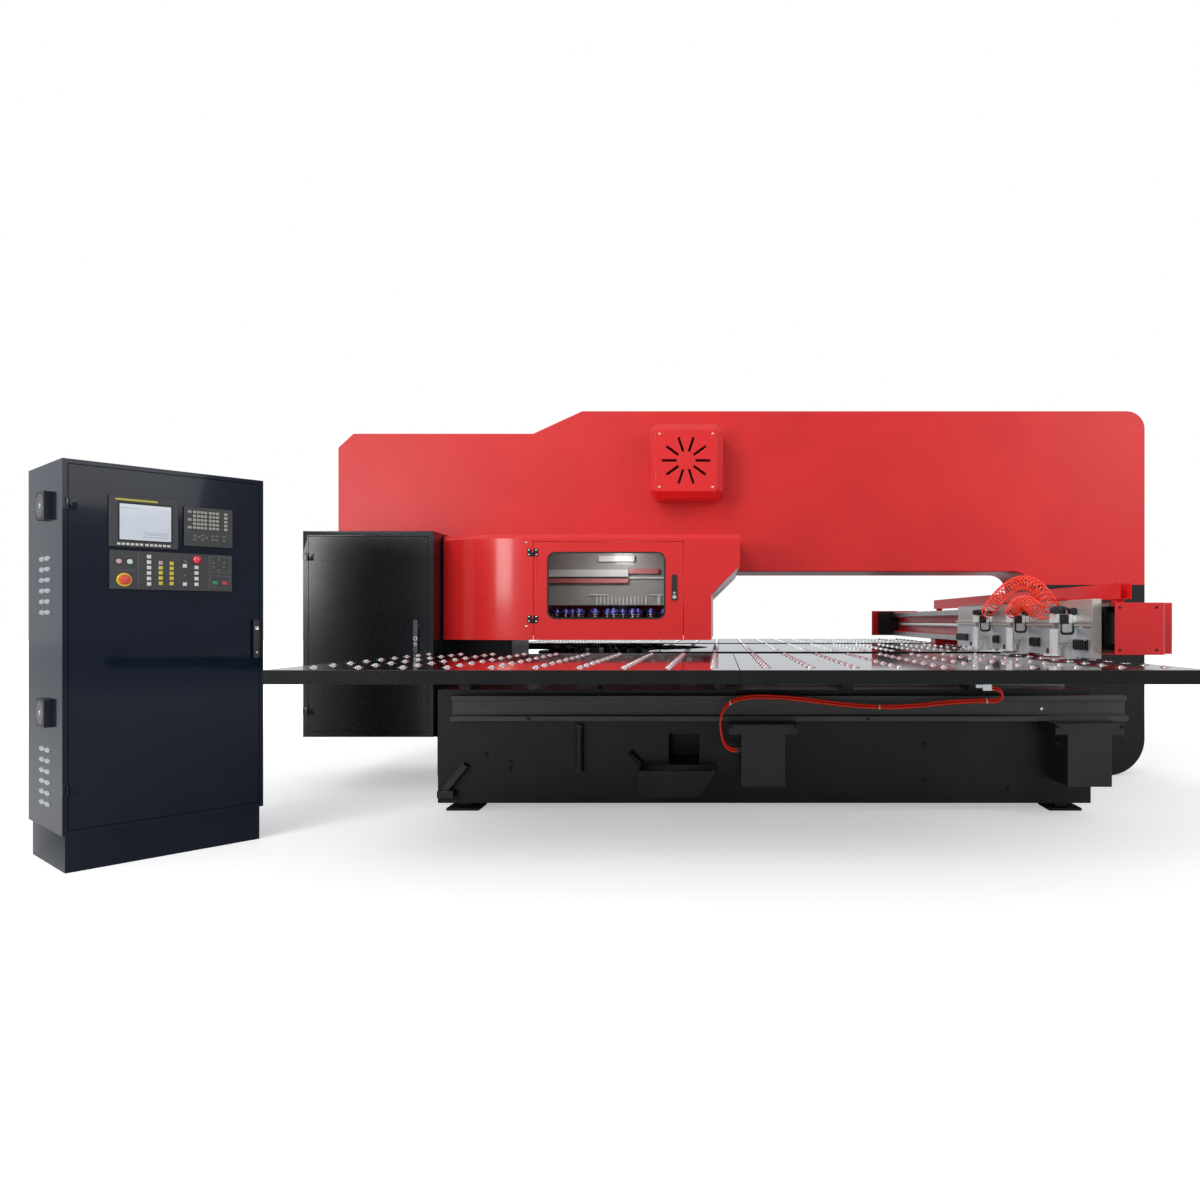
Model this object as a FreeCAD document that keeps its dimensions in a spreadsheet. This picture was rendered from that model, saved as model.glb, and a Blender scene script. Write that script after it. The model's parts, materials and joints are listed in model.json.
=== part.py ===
import FreeCAD, Part
import math
import os
import re

from FreeCAD import Placement, Rotation, Vector

# Turret punch press with a closed O-frame, ball tables, cross beam and a free-standing control cabinet.
# Millimetres. X right along the frame, Y away from the operator, Z up; the origin lies on the floor
# under the middle of the main frame.

os.makedirs("parts", exist_ok=True)
doc = FreeCAD.newDocument("TurretPunchPress")

# ---------------------------------------------------------------- driving dimensions
SIZES = {
    # main frame
    "frame_length": 5200, "frame_depth": 520, "frame_height": 2350, "frame_low_top": 2205,
    "slope_start": 1256, "slope_end": 1572, "left_chamfer_run": 97, "left_chamfer_drop": 90,
    "top_radius": 115, "bottom_radius": 240, "throat_left": -1480, "throat_right": 1860,
    "throat_bottom": 600, "throat_top": 1315, "throat_radius": 110,
    "notch_length": 638, "notch_height": 250,
    # turret
    "turret_x": -800, "turret_radius": 550, "outer_ring_radius": 458, "inner_ring_radius": 375,
    "outer_stations": 24, "inner_stations": 24, "station_radius": 20,
    "lower_disc_top": 800, "lower_disc_thickness": 70, "upper_disc_bottom": 905, "upper_disc_thickness": 65,
    "die_height": 26, "die_rim": 8, "punch_top": 1075, "punch_bottom": 896, "punch_cap_height": 34,
    "punch_cap_rim": 7, "bore_play": 0.3,
    "turret_shaft_radius": 60, "upper_shaft_length": 265, "lower_shaft_drop": 105,
    "bearing_radius": 120, "bearing_flange_half": 160, "disc_play": 10, "running_gap": 0.05,
    "ram_radius": 45, "ram_bottom": 1125, "ram_top": 1500, "cylinder_half": 92, "cylinder_top": 1620,
    "cylinder_bottom": 1190, "cylinder_flange_half": 130, "cylinder_flange_height": 35,
    # ventilator
    "vent_x": -349, "vent_below_top": 359, "vent_base": 460, "vent_face": 378, "vent_depth": 226,
    "vent_bevel": 41, "vent_corner_cut": 40, "slot_count": 10, "slot_inner": 58, "slot_outer": 150,
    "slot_width": 15, "fan_radius": 165, "fan_hub_radius": 48, "fan_blades": 7, "fan_width": 50,
    "fan_set_back": 120, "fan_motor_half": 40, "fan_motor_depth": 14, "fan_pin_radius": 6, "fan_pitch": 38,
    # turret cover and its door
    "cover_front": -807, "cover_bottom": 886, "cover_top": 1505, "cover_left": -1796, "cover_right": -23,
    "cover_neck": -190, "cover_slant_top": 1319, "cover_slant_bottom": 1155, "cover_sheet": 4,
    "cover_bevel": 26, "cover_curve_radius": 1214, "hinge_line": -1230, "door_right": -351,
    "door_top": 1462, "door_flange": 24, "door_gap": 3, "window_left": -1145, "window_right": -460,
    "window_bottom": 1011, "window_top": 1398, "window_radius": 45, "glass_thickness": 6,
    "hinge_high": 1397, "hinge_low": 1008, "hinge_pin_out": 7, "latch_spindle_radius": 6,
    "latch_x": -405, "latch_bottom": 1118, "latch_top": 1268, "latch_width": 30,
    # electrical cabinet on the frame
    "ecab_inset": 38, "ecab_gap": 9, "ecab_front": -827, "ecab_bottom": 323, "ecab_top": 1520,
    "ecab_sheet": 4, "ecab_rim": 30, "ecab_hinge_inset": 150, "handle_x": -1902, "handle_bottom": 811,
    "handle_top": 1003, "handle_pivot_drop": 36, "handle_half": 13, "handle_spindle_radius": 7,
    "handle_collar_radius": 15,
    # tables
    "table_height": 820, "table_apron": 52, "table_plate": 12, "apron_thickness": 8,
    "front_table_edge": -2781, "slot_outer_y": 1157, "slot_inner_y": 837, "table_left": -1801,
    "table_right": 1650, "table_seam": -68, "centre_table_left": -560, "turret_clearance": 28,
    "ball_pitch": 170, "ball_height": 8, "ball_half_width": 13, "first_ball_row": 184, "ball_rows": 9,
    # base
    "base_left": -1613, "base_right": 1797, "base_front": -1357, "base_bottom": 47, "base_top": 640,
    "foot_radius": 35, "foot_plate": 170, "foot_plate_height": 14, "anchor_radius": 9,
    "anchor_offset": 60, "foot_inset": 120,
    "chute_left": -405, "chute_right": -249, "chute_bottom": 251, "chute_top": 408, "chute_depth": 300,
    "channel_left": -1522, "channel_right": 1952, "channel_bottom": 484, "channel_top": 613,
    "channel_out": 90, "channel_lip": 26, "tray_left": -549, "tray_right": -153, "tray_bottom": 113,
    "tray_top": 248, "tray_out": 190, "bracket_out": 220, "bracket_width": 221, "bracket_height": 258,
    "cap_height": 54, "cap_width": 343, "bracket_left_x": 76, "bracket_right_x": 1700,
    "hose_radius": 6, "hose_step_out": 12.6, "hose_step_down": 6, "conduit_x": -870,
    "conduit_radius": 16, "conduit_bottom": 215, "conduit_top": 460, "conduit_ribs": 8,
    # Y drive under the tables
    "y_rail_y": 1040, "y_rail_width": 34, "y_rail_height": 30, "y_travel": 1250, "saddle_width": 150,
    "saddle_length": 210, "y_screw_y": -905, "y_screw_z": 712, "screw_radius": 20,
    "y_block_width": 50, "y_motor_length": 210, "motor_size": 130,
    # cross beam
    "beam_x": 1532, "beam_back": 1773, "beam_bottom": 858, "beam_top": 1075, "beam_front": -2240,
    "beam_rear": 2653, "beam_seat": 1648, "rail_face": 1523, "rail_height": 34, "rail_low": 862,
    "rail_high": 1038, "groove_bottom": 902, "groove_top": 1030, "groove_depth": 52, "x_screw_z": 967,
    "x_screw_x": 1560, "x_screw_radius": 16,
    "end_plate_left": 1337, "end_plate_top": 1092, "end_plate_thickness": 20,
    "rear_block": 70, "front_block": 40, "motor_cover_left": 1462, "motor_cover_right": 1671,
    "motor_cover_top": 1073, "motor_cover_bottom": 860, "motor_cover_front": -2397, "motor_cover_bevel": 12,
    "trough_left": 1660, "trough_right": 1712, "trough_bottom": 1097, "trough_top": 1170,
    "trough_front": -2000, "trough_rear": 1500,
    # carriage and clamps
    "carriage_face": 1440, "carriage_thickness": 40, "carriage_bottom": 837, "carriage_top": 1092,
    "carriage_front": -2227, "carriage_length": 2137, "ledge_z": 975, "ledge_height": 24,
    "ledge_depth": 16, "clamp_front_y": -2020, "clamp_pitch": 612, "clamp_reach": 122, "clamp_width": 86,
    "jaw_gap": 8, "lower_jaw_height": 5, "jaw_width": 60, "jaw_toe": 34, "jaw_toe_height": 10,
    "jaw_plate": 8, "jaw_back": 56, "jaw_heel_drop": 30, "jaw_crest_rise": 32, "clamp_pivot_out": 58,
    "clamp_pivot_rise": 101, "clamp_pin_radius": 7, "cheek_reach": 17, "cheek_play": 1.3,
    "clamp_web": 36, "clamp_head": 88, "clamp_head_rise": 60, "clamp_head_height": 38,
    "air_cylinder_out": 55, "air_cylinder_radius": 20,
    "air_cylinder_height": 34,
    # curly hoses of the clamps
    "curl_radius": 31, "curl_wire_radius": 4, "rear_curls": 18, "middle_curls": 9, "curl_root_rise": 194,
    # free-standing control cabinet, own axes: x along its front, y into its depth
    "ccab_x": -2725, "ccab_y": -2510, "ccab_yaw": 50, "ccab_width": 765, "ccab_depth": 490,
    "ccab_height": 1640, "plinth_height": 150, "plinth_inset": 12, "ccab_sheet": 4, "ccab_rim": 18,
    "ccab_hinge_inset": 180,
    "display_left": 155, "display_width": 254, "display_height": 211, "display_bottom": 1302,
    "keyboard_left": 432, "keyboard_width": 196, "keyboard_height": 170, "keyboard_bottom": 1321,
    "operator_left": 157, "operator_width": 468, "operator_height": 159, "operator_bottom": 1129,
    "unit_out": 12, "stop_x": 208, "stop_z": 1167, "stop_radius": 20, "button_z": 1242,
    "button_radius": 11, "start_x": 228, "hold_x": 189, "knob_x": 481, "knob_z": 1262, "knob_radius": 18,
    "louvre_rows": 6, "louvre_pitch": 44, "louvre_width": 46, "louvre_high": 1275, "louvre_low": 494,
    "fan_high": 1467, "fan_low": 624, "fan_square": 90,
    "control_handle_inset": 38, "control_handle_z": 985, "control_handle_drop": 156
}

sheet = doc.addObject("Spreadsheet::Sheet", "Sizes")
for row, (alias, number) in enumerate(SIZES.items(), start=1):
    sheet.set(f"A{row}", alias)
    sheet.set(f"B{row}", str(number))
    sheet.setAlias(f"B{row}", alias)
doc.recompute()


class Cells:
    """Reads the sheet's numbers by their aliases."""

    def __getattr__(self, alias):
        return float(sheet.get(alias))


cell = Cells()


def bound(formula):
    """The formula with each alias written as a reference to the sheet."""
    return re.sub(r"[a-z][a-z_]*[a-z]", lambda word: "Sizes." + word.group()
                  if word.group() in SIZES else word.group(), str(formula))


def bind(item, **properties):
    """Binds the properties of an object to formulas."""
    for name, formula in properties.items():
        item.setExpression(name, bound(formula))


def place(item, x, y, z):
    """Binds an object's position to three formulas."""
    for axis, formula in zip("xyz", (x, y, z)):
        item.setExpression(f"Placement.Base.{axis}", bound(formula))
    return item


def box(x, y, z, length, width, height):
    """A block from its lowest corner and three sizes, all formulas."""
    item = doc.addObject("Part::Box", "Block")
    bind(item, Length=length, Width=width, Height=height)
    return place(item, x, y, z)


def cylinder(x, y, z, radius, height, direction="z"):
    """A round bar that starts at a point and runs along an axis."""
    item = doc.addObject("Part::Cylinder", "Bar")
    bind(item, Radius=radius, Height=height)
    turns = {"z": Rotation(), "x": Rotation(Vector(0, 1, 0), 90), "y": Rotation(Vector(1, 0, 0), -90)}
    item.Placement = Placement(Vector(), turns[direction])
    return place(item, x, y, z)


def fuse(*pieces):
    """One solid out of several."""
    item = doc.addObject("Part::MultiFuse", "Union")
    item.Shapes = list(pieces)
    return item


def cut(base, *tools):
    """A solid with others taken away."""
    item = doc.addObject("Part::Cut", "Difference")
    item.Base = base
    item.Tool = tools[0] if len(tools) == 1 else fuse(*tools)
    return item


def group(*pieces):
    """Several separate solids in one node."""
    item = doc.addObject("Part::Compound", "Group")
    item.Links = list(pieces)
    return item


def feature(shape):
    """A piece whose shape is worked out with Part's own functions."""
    item = doc.addObject("Part::Feature", "Shape")
    item.Shape = shape
    return item


nodes = {}


def node(name, item):
    """Names an object as one sub-part of the machine."""
    item.Label = name
    nodes[name] = item
    return item


def wire(points, closed=True):
    """A chain of straight edges, with an arc wherever a pair's middle point is given."""
    edges = []
    count = len(points)
    index = 0
    while index < count - (0 if closed else 1):
        start = points[index]
        following = points[(index + 1) % count]
        if isinstance(following, tuple):
            middle, end = following
            edges.append(Part.Arc(vec(start), middle, end).toShape())
        else:
            edges.append(Part.LineSegment(vec(start), following).toShape())
        index += 1
    return Part.Wire(edges)


def vec(point):
    """The end of an arc entry, or the point itself."""
    return point[1] if isinstance(point, tuple) else point


def prism(points, direction):
    """A solid swept straight from a closed outline."""
    return Part.Face(wire(points)).extrude(direction)


def rounded(corner, before, after, radius):
    """The start point and the arc entry that round a right-angled corner."""
    start = corner + (before - corner).normalize() * radius
    end = corner + (after - corner).normalize() * radius
    inward = (start - corner) + (end - corner)
    middle = corner + inward * (1 - math.sqrt(0.5))
    return start, (middle, end)


def rounded_rectangle(corners, radius):
    """The entries of a rectangle with rounded corners."""
    entries = []
    for index, corner in enumerate(corners):
        entries.extend(rounded(corner, corners[index - 1], corners[(index + 1) % 4], radius))
    return entries


def sketch_body(label, plane, shapes, length, reversed_pad=False, midplane=False):
    """A body padded from a sketch on one of its own planes."""
    body = doc.addObject("PartDesign::Body", label)
    sketch = body.newObject("Sketcher::SketchObject", label + "Sketch")
    support = [item for item in body.Origin.OriginFeatures if item.Role == plane][0]
    sketch.AttachmentSupport = [(support, "")]
    sketch.MapMode = "FlatFace"
    for shape in shapes:
        sketch.addGeometry(shape, False)
    pad = body.newObject("PartDesign::Pad", label + "Pad")
    pad.Profile = sketch
    pad.Reversed = reversed_pad
    pad.Midplane = midplane
    bind(pad, Length=length)
    doc.recompute()
    return body


def pocket(body, plane, shapes, length=None, midplane=True, offset=None, name="Pocket"):
    """Cuts a sketched opening through a body, both ways from the sketch."""
    sketch = body.newObject("Sketcher::SketchObject", name + "Sketch")
    support = [item for item in body.Origin.OriginFeatures if item.Role == plane][0]
    sketch.AttachmentSupport = [(support, "")]
    sketch.MapMode = "FlatFace"
    for shape in shapes:
        sketch.addGeometry(shape, False)
    cutter = body.newObject("PartDesign::Pocket", name)
    cutter.Profile = sketch
    cutter.Midplane = midplane
    if length is None:
        cutter.Type = "ThroughAll"
    else:
        bind(cutter, Length=length)
    before = body.Shape.Volume
    body.Tip = cutter
    doc.recompute()
    if body.Shape.Volume > before - 1:
        raise RuntimeError(name + " cuts nothing")
    return cutter


def flat_edges(points):
    """Sketch lines and arcs on a plane from outline entries in that plane's own x and y."""
    shapes = []
    for index, entry in enumerate(points):
        start = vec(entry)
        following = points[(index + 1) % len(points)]
        if isinstance(following, tuple):
            shapes.append(Part.Arc(start, following[0], following[1]))
        else:
            shapes.append(Part.LineSegment(start, following))
    return shapes


def flat(x, y):
    """A point of a sketch plane."""
    return Vector(x, y, 0)


def point(x, y, z):
    """A point in space."""
    return Vector(x, y, z)


def block(x_from, x_to, y_from, y_to, z_from, z_to):
    """A block shape between two corners."""
    return Part.makeBox(x_to - x_from, y_to - y_from, z_to - z_from, point(x_from, y_from, z_from))


def bar(radius, start, length, direction):
    """A round bar shape."""
    return Part.makeCylinder(radius, length, start, direction)


def polygon_bar(sides, x, y, z, radius, height):
    """An upright bar with flat sides, for pieces that repeat and so get few faces."""
    turn = math.pi / sides
    angles = [turn + 2 * turn * index for index in range(sides)]
    ring = [point(x + radius * math.cos(angle), y + radius * math.sin(angle), z) for angle in angles]
    return Part.Face(Part.makePolygon(ring + ring[:1])).extrude(point(0, 0, height))


def lying_bar(sides, x, y, z, radius, length):
    """A bar with flat sides that runs towards the back from a point."""
    turn = math.pi / sides
    angles = [turn + 2 * turn * index for index in range(sides)]
    ring = [point(x + radius * math.cos(angle), y, z + radius * math.sin(angle)) for angle in angles]
    return Part.Face(Part.makePolygon(ring + ring[:1])).extrude(point(0, length, 0))


# The air hose's route in front of the base, from the bracket's gland to the fitting under a table arm.
AIR_HOSE_ROUTE = [(-53, -1500, 350), (-86, -1500, 350), (-118, -1508, 382), (-136, -1513, 446),
                  (-138, -1512, 520), (-112, -1507, 578), (-50, -1502, 612), (60, -1499, 624),
                  (250, -1500, 612), (470, -1503, 582), (690, -1501, 566), (880, -1503, 578),
                  (1050, -1506, 597), (1190, -1506, 602), (1256, -1510, 598), (1288, -1515, 622),
                  (1268, -1518, 664), (1222, -1518, 664)]

# The middle lines of the curly hoses: from the rear clamp and from the middle clamp to the front clamp.
REAR_CURL_ROUTE = [(1394, -900, 1046), (1394, -1010, 1096), (1394, -1180, 1152), (1394, -1370, 1190),
                   (1394, -1560, 1192), (1394, -1720, 1150), (1394, -1840, 1090), (1394, -1915, 1044)]
MIDDLE_CURL_ROUTE = [(1336, -1510, 1046), (1334, -1590, 1076), (1330, -1680, 1088), (1326, -1780, 1080),
                     (1322, -1860, 1056), (1320, -1910, 1040)]

X_WAY = Vector(1, 0, 0)
Y_WAY = Vector(0, 1, 0)
Z_WAY = Vector(0, 0, 1)


# ---------------------------------------------------------------- main frame
def make_frame():
    """The O-shaped frame plate with its throat and the bore for the punch cylinder."""
    left = -cell.frame_length / 2
    right = cell.frame_length / 2
    top = cell.frame_height
    low_top = cell.frame_low_top
    base_r = cell.bottom_radius
    top_r = cell.top_radius
    notch_x = left + cell.notch_length
    slack = 1 - math.sqrt(0.5)
    outline = [
        flat(notch_x, 0), flat(right - base_r, 0),
        (flat(right - base_r * slack, base_r * slack), flat(right, base_r)),
        flat(right, top - top_r),
        (flat(right - top_r * slack, top - top_r * slack), flat(right - top_r, top)),
        flat(left + cell.slope_end, top), flat(left + cell.slope_start, low_top),
        flat(left + cell.left_chamfer_run, low_top), flat(left, low_top - cell.left_chamfer_drop),
        flat(left, cell.notch_height), flat(notch_x, cell.notch_height)]
    body = sketch_body("FrameBody", "XZ_Plane", flat_edges(outline), "frame_depth", midplane=True)
    throat_left = cell.throat_left
    throat_right = cell.throat_right
    corners = [flat(throat_left, cell.throat_bottom), flat(throat_right, cell.throat_bottom),
               flat(throat_right, cell.throat_top), flat(throat_left, cell.throat_top)]
    pocket(body, "XZ_Plane", flat_edges(rounded_rectangle(corners, cell.throat_radius)), name="Throat")
    bore = box("turret_x + outer_ring_radius - cylinder_half - 1", "-cylinder_half - 1", "throat_top - 1",
               "2 * cylinder_half + 2", "2 * cylinder_half + 2", "cylinder_top - throat_top + 3")
    node("main_frame", cut(body, bore))


def make_feet():
    """Four levelling feet under the front and rear base, each with an anchor hole."""
    feet = []
    half = cell.foot_plate / 2
    for way in (-1, 1):
        for x in (cell.base_left + cell.foot_inset, cell.base_right - cell.foot_inset):
            y = -way * (cell.base_front + cell.foot_inset)
            plate = block(x - half, x + half, y - half, y + half, 0, cell.foot_plate_height)
            bolt = polygon_bar(6, x, y, 0, cell.foot_radius, cell.base_bottom)
            anchor = bar(cell.anchor_radius, point(x, y + way * cell.anchor_offset, -1),
                         cell.foot_plate_height + 2, Z_WAY)
            feet.append(plate.fuse(bolt).cut(anchor))
    node("levelling_feet", feature(Part.Compound(feet)))


# ---------------------------------------------------------------- ventilator
def vent_z():
    """Height of the ventilator's middle, which keeps its distance from the frame's top."""
    return cell.frame_height - cell.vent_below_top


def cut_corner_square(side, corner, y):
    """The corner points of a square outline with cut corners, standing at a depth."""
    half = side / 2
    near = half - corner
    ring = [(-near, -half), (near, -half), (half, -near), (half, near),
            (near, half), (-near, half), (-half, near), (-half, -near)]
    return [point(cell.vent_x + x, y, vent_z() + z) for x, z in ring]


def stacked_solid(rings):
    """A closed solid with flat faces between rings that have the same number of corners."""
    faces = [Part.Face(Part.makePolygon(ring + ring[:1])) for ring in (rings[0], rings[-1])]
    for low, high in zip(rings, rings[1:]):
        for index in range(len(low)):
            following = (index + 1) % len(low)
            corners = [low[index], low[following], high[following], high[index]]
            faces.append(Part.Face(Part.makePolygon(corners + corners[:1])))
    solid = Part.Solid(Part.makeShell(faces))
    if solid.Volume < 0:
        solid.reverse()
    return solid


def make_vent_box():
    """The square housing with bevelled front edges, radial slots, and the bar that carries the fan."""
    back = -cell.frame_depth / 2
    front = back - cell.vent_depth
    shoulder = front + cell.vent_bevel
    wall = cell.cover_sheet
    shells = []
    for inset in (0, wall):
        base = cut_corner_square(cell.vent_base - 2 * inset, cell.vent_corner_cut, back)
        step = cut_corner_square(cell.vent_base - 2 * inset, cell.vent_corner_cut, shoulder + inset / 2)
        face = cut_corner_square(cell.vent_face - 2 * inset, cell.vent_corner_cut, front + inset)
        shells.append(stacked_solid([base, step, face]))
    housing = shells[0].cut(shells[1])
    middle = point(cell.vent_x, 0, vent_z())
    slots = []
    half_slot = cell.slot_width / 2
    for index in range(int(cell.slot_count)):
        slot = block(cell.vent_x + cell.slot_inner, cell.vent_x + cell.slot_outer, front - 1,
                     front + wall + 1, vent_z() - half_slot, vent_z() + half_slot)
        slot.rotate(middle, Y_WAY, index * 360 / cell.slot_count)
        slots.append(slot)
    half = cell.vent_base / 2 - wall / 2
    fan_back = back - cell.fan_set_back
    carrier = block(cell.vent_x - half, cell.vent_x + half, fan_back, fan_back + 8,
                    vent_z() - 25, vent_z() + 25)
    side = cell.fan_motor_half
    motor = block(cell.vent_x - side, cell.vent_x + side, fan_back - cell.fan_motor_depth, fan_back,
                  vent_z() - side, vent_z() + side)
    pin = bar(cell.fan_pin_radius, point(cell.vent_x, fan_back, vent_z()),
              cell.fan_motor_depth + cell.fan_width, -Y_WAY)
    node("vent_box", feature(housing.cut(slots).fuse([carrier, motor, pin])))


def make_vent_fan():
    """The axial fan rotor behind the slots."""
    start = -cell.frame_depth / 2 - cell.fan_set_back - cell.fan_motor_depth - 0.3
    hub_start = point(cell.vent_x, start, vent_z())
    rotor = lying_bar(int(cell.fan_blades), cell.vent_x, start - cell.fan_width, vent_z(),
                      cell.fan_hub_radius, cell.fan_width)
    middle = start - cell.fan_width / 2
    blades = []
    for index in range(int(cell.fan_blades)):
        blade = block(cell.vent_x + cell.fan_hub_radius - 8, cell.vent_x + cell.fan_radius, middle - 24,
                      middle + 24, vent_z() - 1.5, vent_z() + 1.5)
        blade.rotate(point(cell.vent_x, middle, vent_z()), X_WAY, cell.fan_pitch)
        blade.rotate(point(cell.vent_x, middle, vent_z()), Y_WAY, index * 360 / cell.fan_blades)
        blades.append(blade)
    bore = bar(cell.fan_pin_radius + cell.running_gap, hub_start, cell.fan_width, -Y_WAY)
    node("vent_fan", feature(rotor.fuse(blades).cut(bore)))


# ---------------------------------------------------------------- turret, punch cylinder and ram
def make_punch_cylinder():
    """The hydraulic cylinder block in the top beam, over the punching station."""
    side = "2 * cylinder_half"
    flange_side = "2 * cylinder_flange_half"
    outer = box("turret_x + outer_ring_radius - cylinder_half", "-cylinder_half", "cylinder_bottom",
                side, side, "cylinder_top - cylinder_bottom")
    flange = box("turret_x + outer_ring_radius - cylinder_flange_half", "-cylinder_flange_half",
                 "throat_top - cylinder_flange_height", flange_side, flange_side, "cylinder_flange_height")
    bore = cylinder("turret_x + outer_ring_radius", "0", "cylinder_bottom - 1", "ram_radius + running_gap",
                    "ram_top - cylinder_bottom + 21")
    node("punch_cylinder", cut(fuse(outer, flange), bore))


def make_ram():
    """The ram that strikes the punch heads."""
    node("ram", cylinder("turret_x + outer_ring_radius", "0", "ram_bottom", "ram_radius",
                         "ram_top - ram_bottom"))


def make_turret_bearings():
    """The upper and lower bearing housings of the turret, each on a square flange."""
    upper_top = cell.upper_disc_bottom + cell.upper_disc_thickness
    half = cell.bearing_flange_half
    x = cell.turret_x
    bore_radius = cell.turret_shaft_radius + cell.running_gap
    start = upper_top + cell.disc_play
    upper = polygon_bar(12, x, 0, start, cell.bearing_radius, cell.throat_top - start)
    upper = upper.fuse(block(x - half, x + half, -half, half, cell.throat_top - 40, cell.throat_top))
    bore = bar(bore_radius, point(x, 0, upper_top), cell.upper_shaft_length + cell.disc_play, Z_WAY)
    low_bottom = cell.lower_disc_top - cell.lower_disc_thickness
    lower = polygon_bar(12, x, 0, cell.throat_bottom, cell.bearing_radius,
                        low_bottom - cell.disc_play - cell.throat_bottom)
    lower = lower.fuse(block(x - half, x + half, -half, half, cell.throat_bottom, cell.throat_bottom + 30))
    low_start = low_bottom - cell.lower_shaft_drop - 5
    low_bore = bar(bore_radius, point(x, 0, low_start), low_bottom - low_start, Z_WAY)
    node("turret_bearings", feature(Part.Compound([upper.cut(bore), lower.cut(low_bore)])))


def station_places():
    """Each station's centre, the outer ring first; the first one lies under the ram."""
    rings = ((cell.outer_ring_radius, int(cell.outer_stations), 0.0),
             (cell.inner_ring_radius, int(cell.inner_stations), 0.5))
    places = []
    for radius, count, start in rings:
        for index in range(count):
            angle = 2 * math.pi * (index + start) / count
            places.append((cell.turret_x + radius * math.cos(angle), radius * math.sin(angle)))
    return places


def make_turret():
    """The upper disc bored for the punches, the lower disc with the die seats, the punches and the dies."""
    low_bottom = cell.lower_disc_top - cell.lower_disc_thickness
    centre = point(cell.turret_x, 0, low_bottom)
    lower = bar(cell.turret_radius, centre, cell.lower_disc_thickness, Z_WAY)
    lower = lower.fuse(bar(cell.turret_shaft_radius, centre, cell.lower_shaft_drop, -Z_WAY))
    node("lower_turret", feature(lower))
    upper_top = cell.upper_disc_bottom + cell.upper_disc_thickness
    centre = point(cell.turret_x, 0, cell.upper_disc_bottom)
    bores = [polygon_bar(6, x, y, low_bottom, cell.station_radius + cell.bore_play, cell.frame_height)
             for x, y in station_places()]
    upper = bar(cell.turret_radius, centre, cell.upper_disc_thickness, Z_WAY).cut(bores)
    upper = upper.fuse(bar(cell.turret_shaft_radius, point(cell.turret_x, 0, upper_top),
                           cell.upper_shaft_length, Z_WAY))
    node("upper_turret", feature(upper))
    punches = []
    dies = []
    for x, y in station_places():
        stem = polygon_bar(6, x, y, cell.punch_bottom, cell.station_radius,
                           cell.punch_top - cell.punch_bottom)
        cap = polygon_bar(6, x, y, cell.punch_top - cell.punch_cap_height,
                          cell.station_radius + cell.punch_cap_rim, cell.punch_cap_height)
        punches.append(stem.fuse(cap).removeSplitter())
        dies.append(polygon_bar(6, x, y, cell.lower_disc_top, cell.station_radius + cell.die_rim,
                                cell.die_height))
    node("punches", feature(Part.Compound(punches)))
    node("dies", feature(Part.Compound(dies)))


# ---------------------------------------------------------------- hinges shared by the doors
BARREL = 5.0
KNUCKLE = 22.0


def hinge_halves(axis_x, axis_y, z, face_y):
    """The fixed half (towards -x) and the moving half (towards +x) of a small butterfly hinge."""
    play = 0.15
    halves = []
    for way in (-1, 1):
        low = z - KNUCKLE if way < 0 else z + play
        high = z - play if way < 0 else z + KNUCKLE
        if way < 0:
            barrel = bar(BARREL, point(axis_x, axis_y, low), high - low, Z_WAY)
        else:
            barrel = polygon_bar(8, axis_x, axis_y, low, BARREL, high - low)
        edge = sorted((axis_x, axis_x + way * 32))
        leaf = block(edge[0], edge[1], face_y - 3, face_y, low, high)
        inner = sorted((axis_x + way * 7, axis_x + way * 32))
        wide = block(inner[0], inner[1], face_y - 3, face_y, z - KNUCKLE, z + KNUCKLE)
        stalk = sorted((axis_x, axis_x + way * 4))
        web = block(stalk[0], stalk[1], axis_y, face_y, low, high)
        halves.append(barrel.fuse([leaf, wide, web]).removeSplitter())
    return halves


# ---------------------------------------------------------------- turret cover, door, window and latch
def cover_solid(inset):
    """The cover's outer form, or its inner form when inset by the sheet's thickness."""
    left = cell.cover_left + inset
    right = cell.cover_right - inset
    neck = cell.cover_neck - inset
    top = cell.cover_top - inset
    bottom = cell.cover_bottom - inset
    back = -cell.frame_depth / 2 + inset
    front = cell.cover_front + inset
    slant_low = cell.cover_slant_bottom + inset / 2
    slant_high = cell.cover_slant_top + inset / 2
    side = prism([point(left, back, bottom), point(neck, back, bottom), point(neck, back, slant_low),
                  point(right, back, slant_high), point(right, back, top), point(left, back, top)],
                 point(0, front - back, 0))
    radius = cell.cover_curve_radius - inset
    centre_y = cell.cover_front + cell.cover_curve_radius
    reach = math.asin((cell.hinge_line - left) / radius)
    low = bottom - 1
    curve = [point(cell.hinge_line - radius * math.sin(turn), centre_y - radius * math.cos(turn), low)
             for turn in (reach / 2, reach)]
    plan = prism([point(right + 1, front, low), point(cell.hinge_line, front, low), (curve[0], curve[1]),
                  point(left, back + 1, low), point(right + 1, back + 1, low)],
                 point(0, 0, top - bottom + 2))
    form = side.common(plan)
    rim = [edge for edge in form.Edges if edge.BoundBox.ZMin > top - 0.1 and edge.BoundBox.YMin < front + 0.1
           and edge.BoundBox.XLength > 100]
    return form.makeChamfer(cell.cover_bevel - inset / 2, rim)


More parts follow.
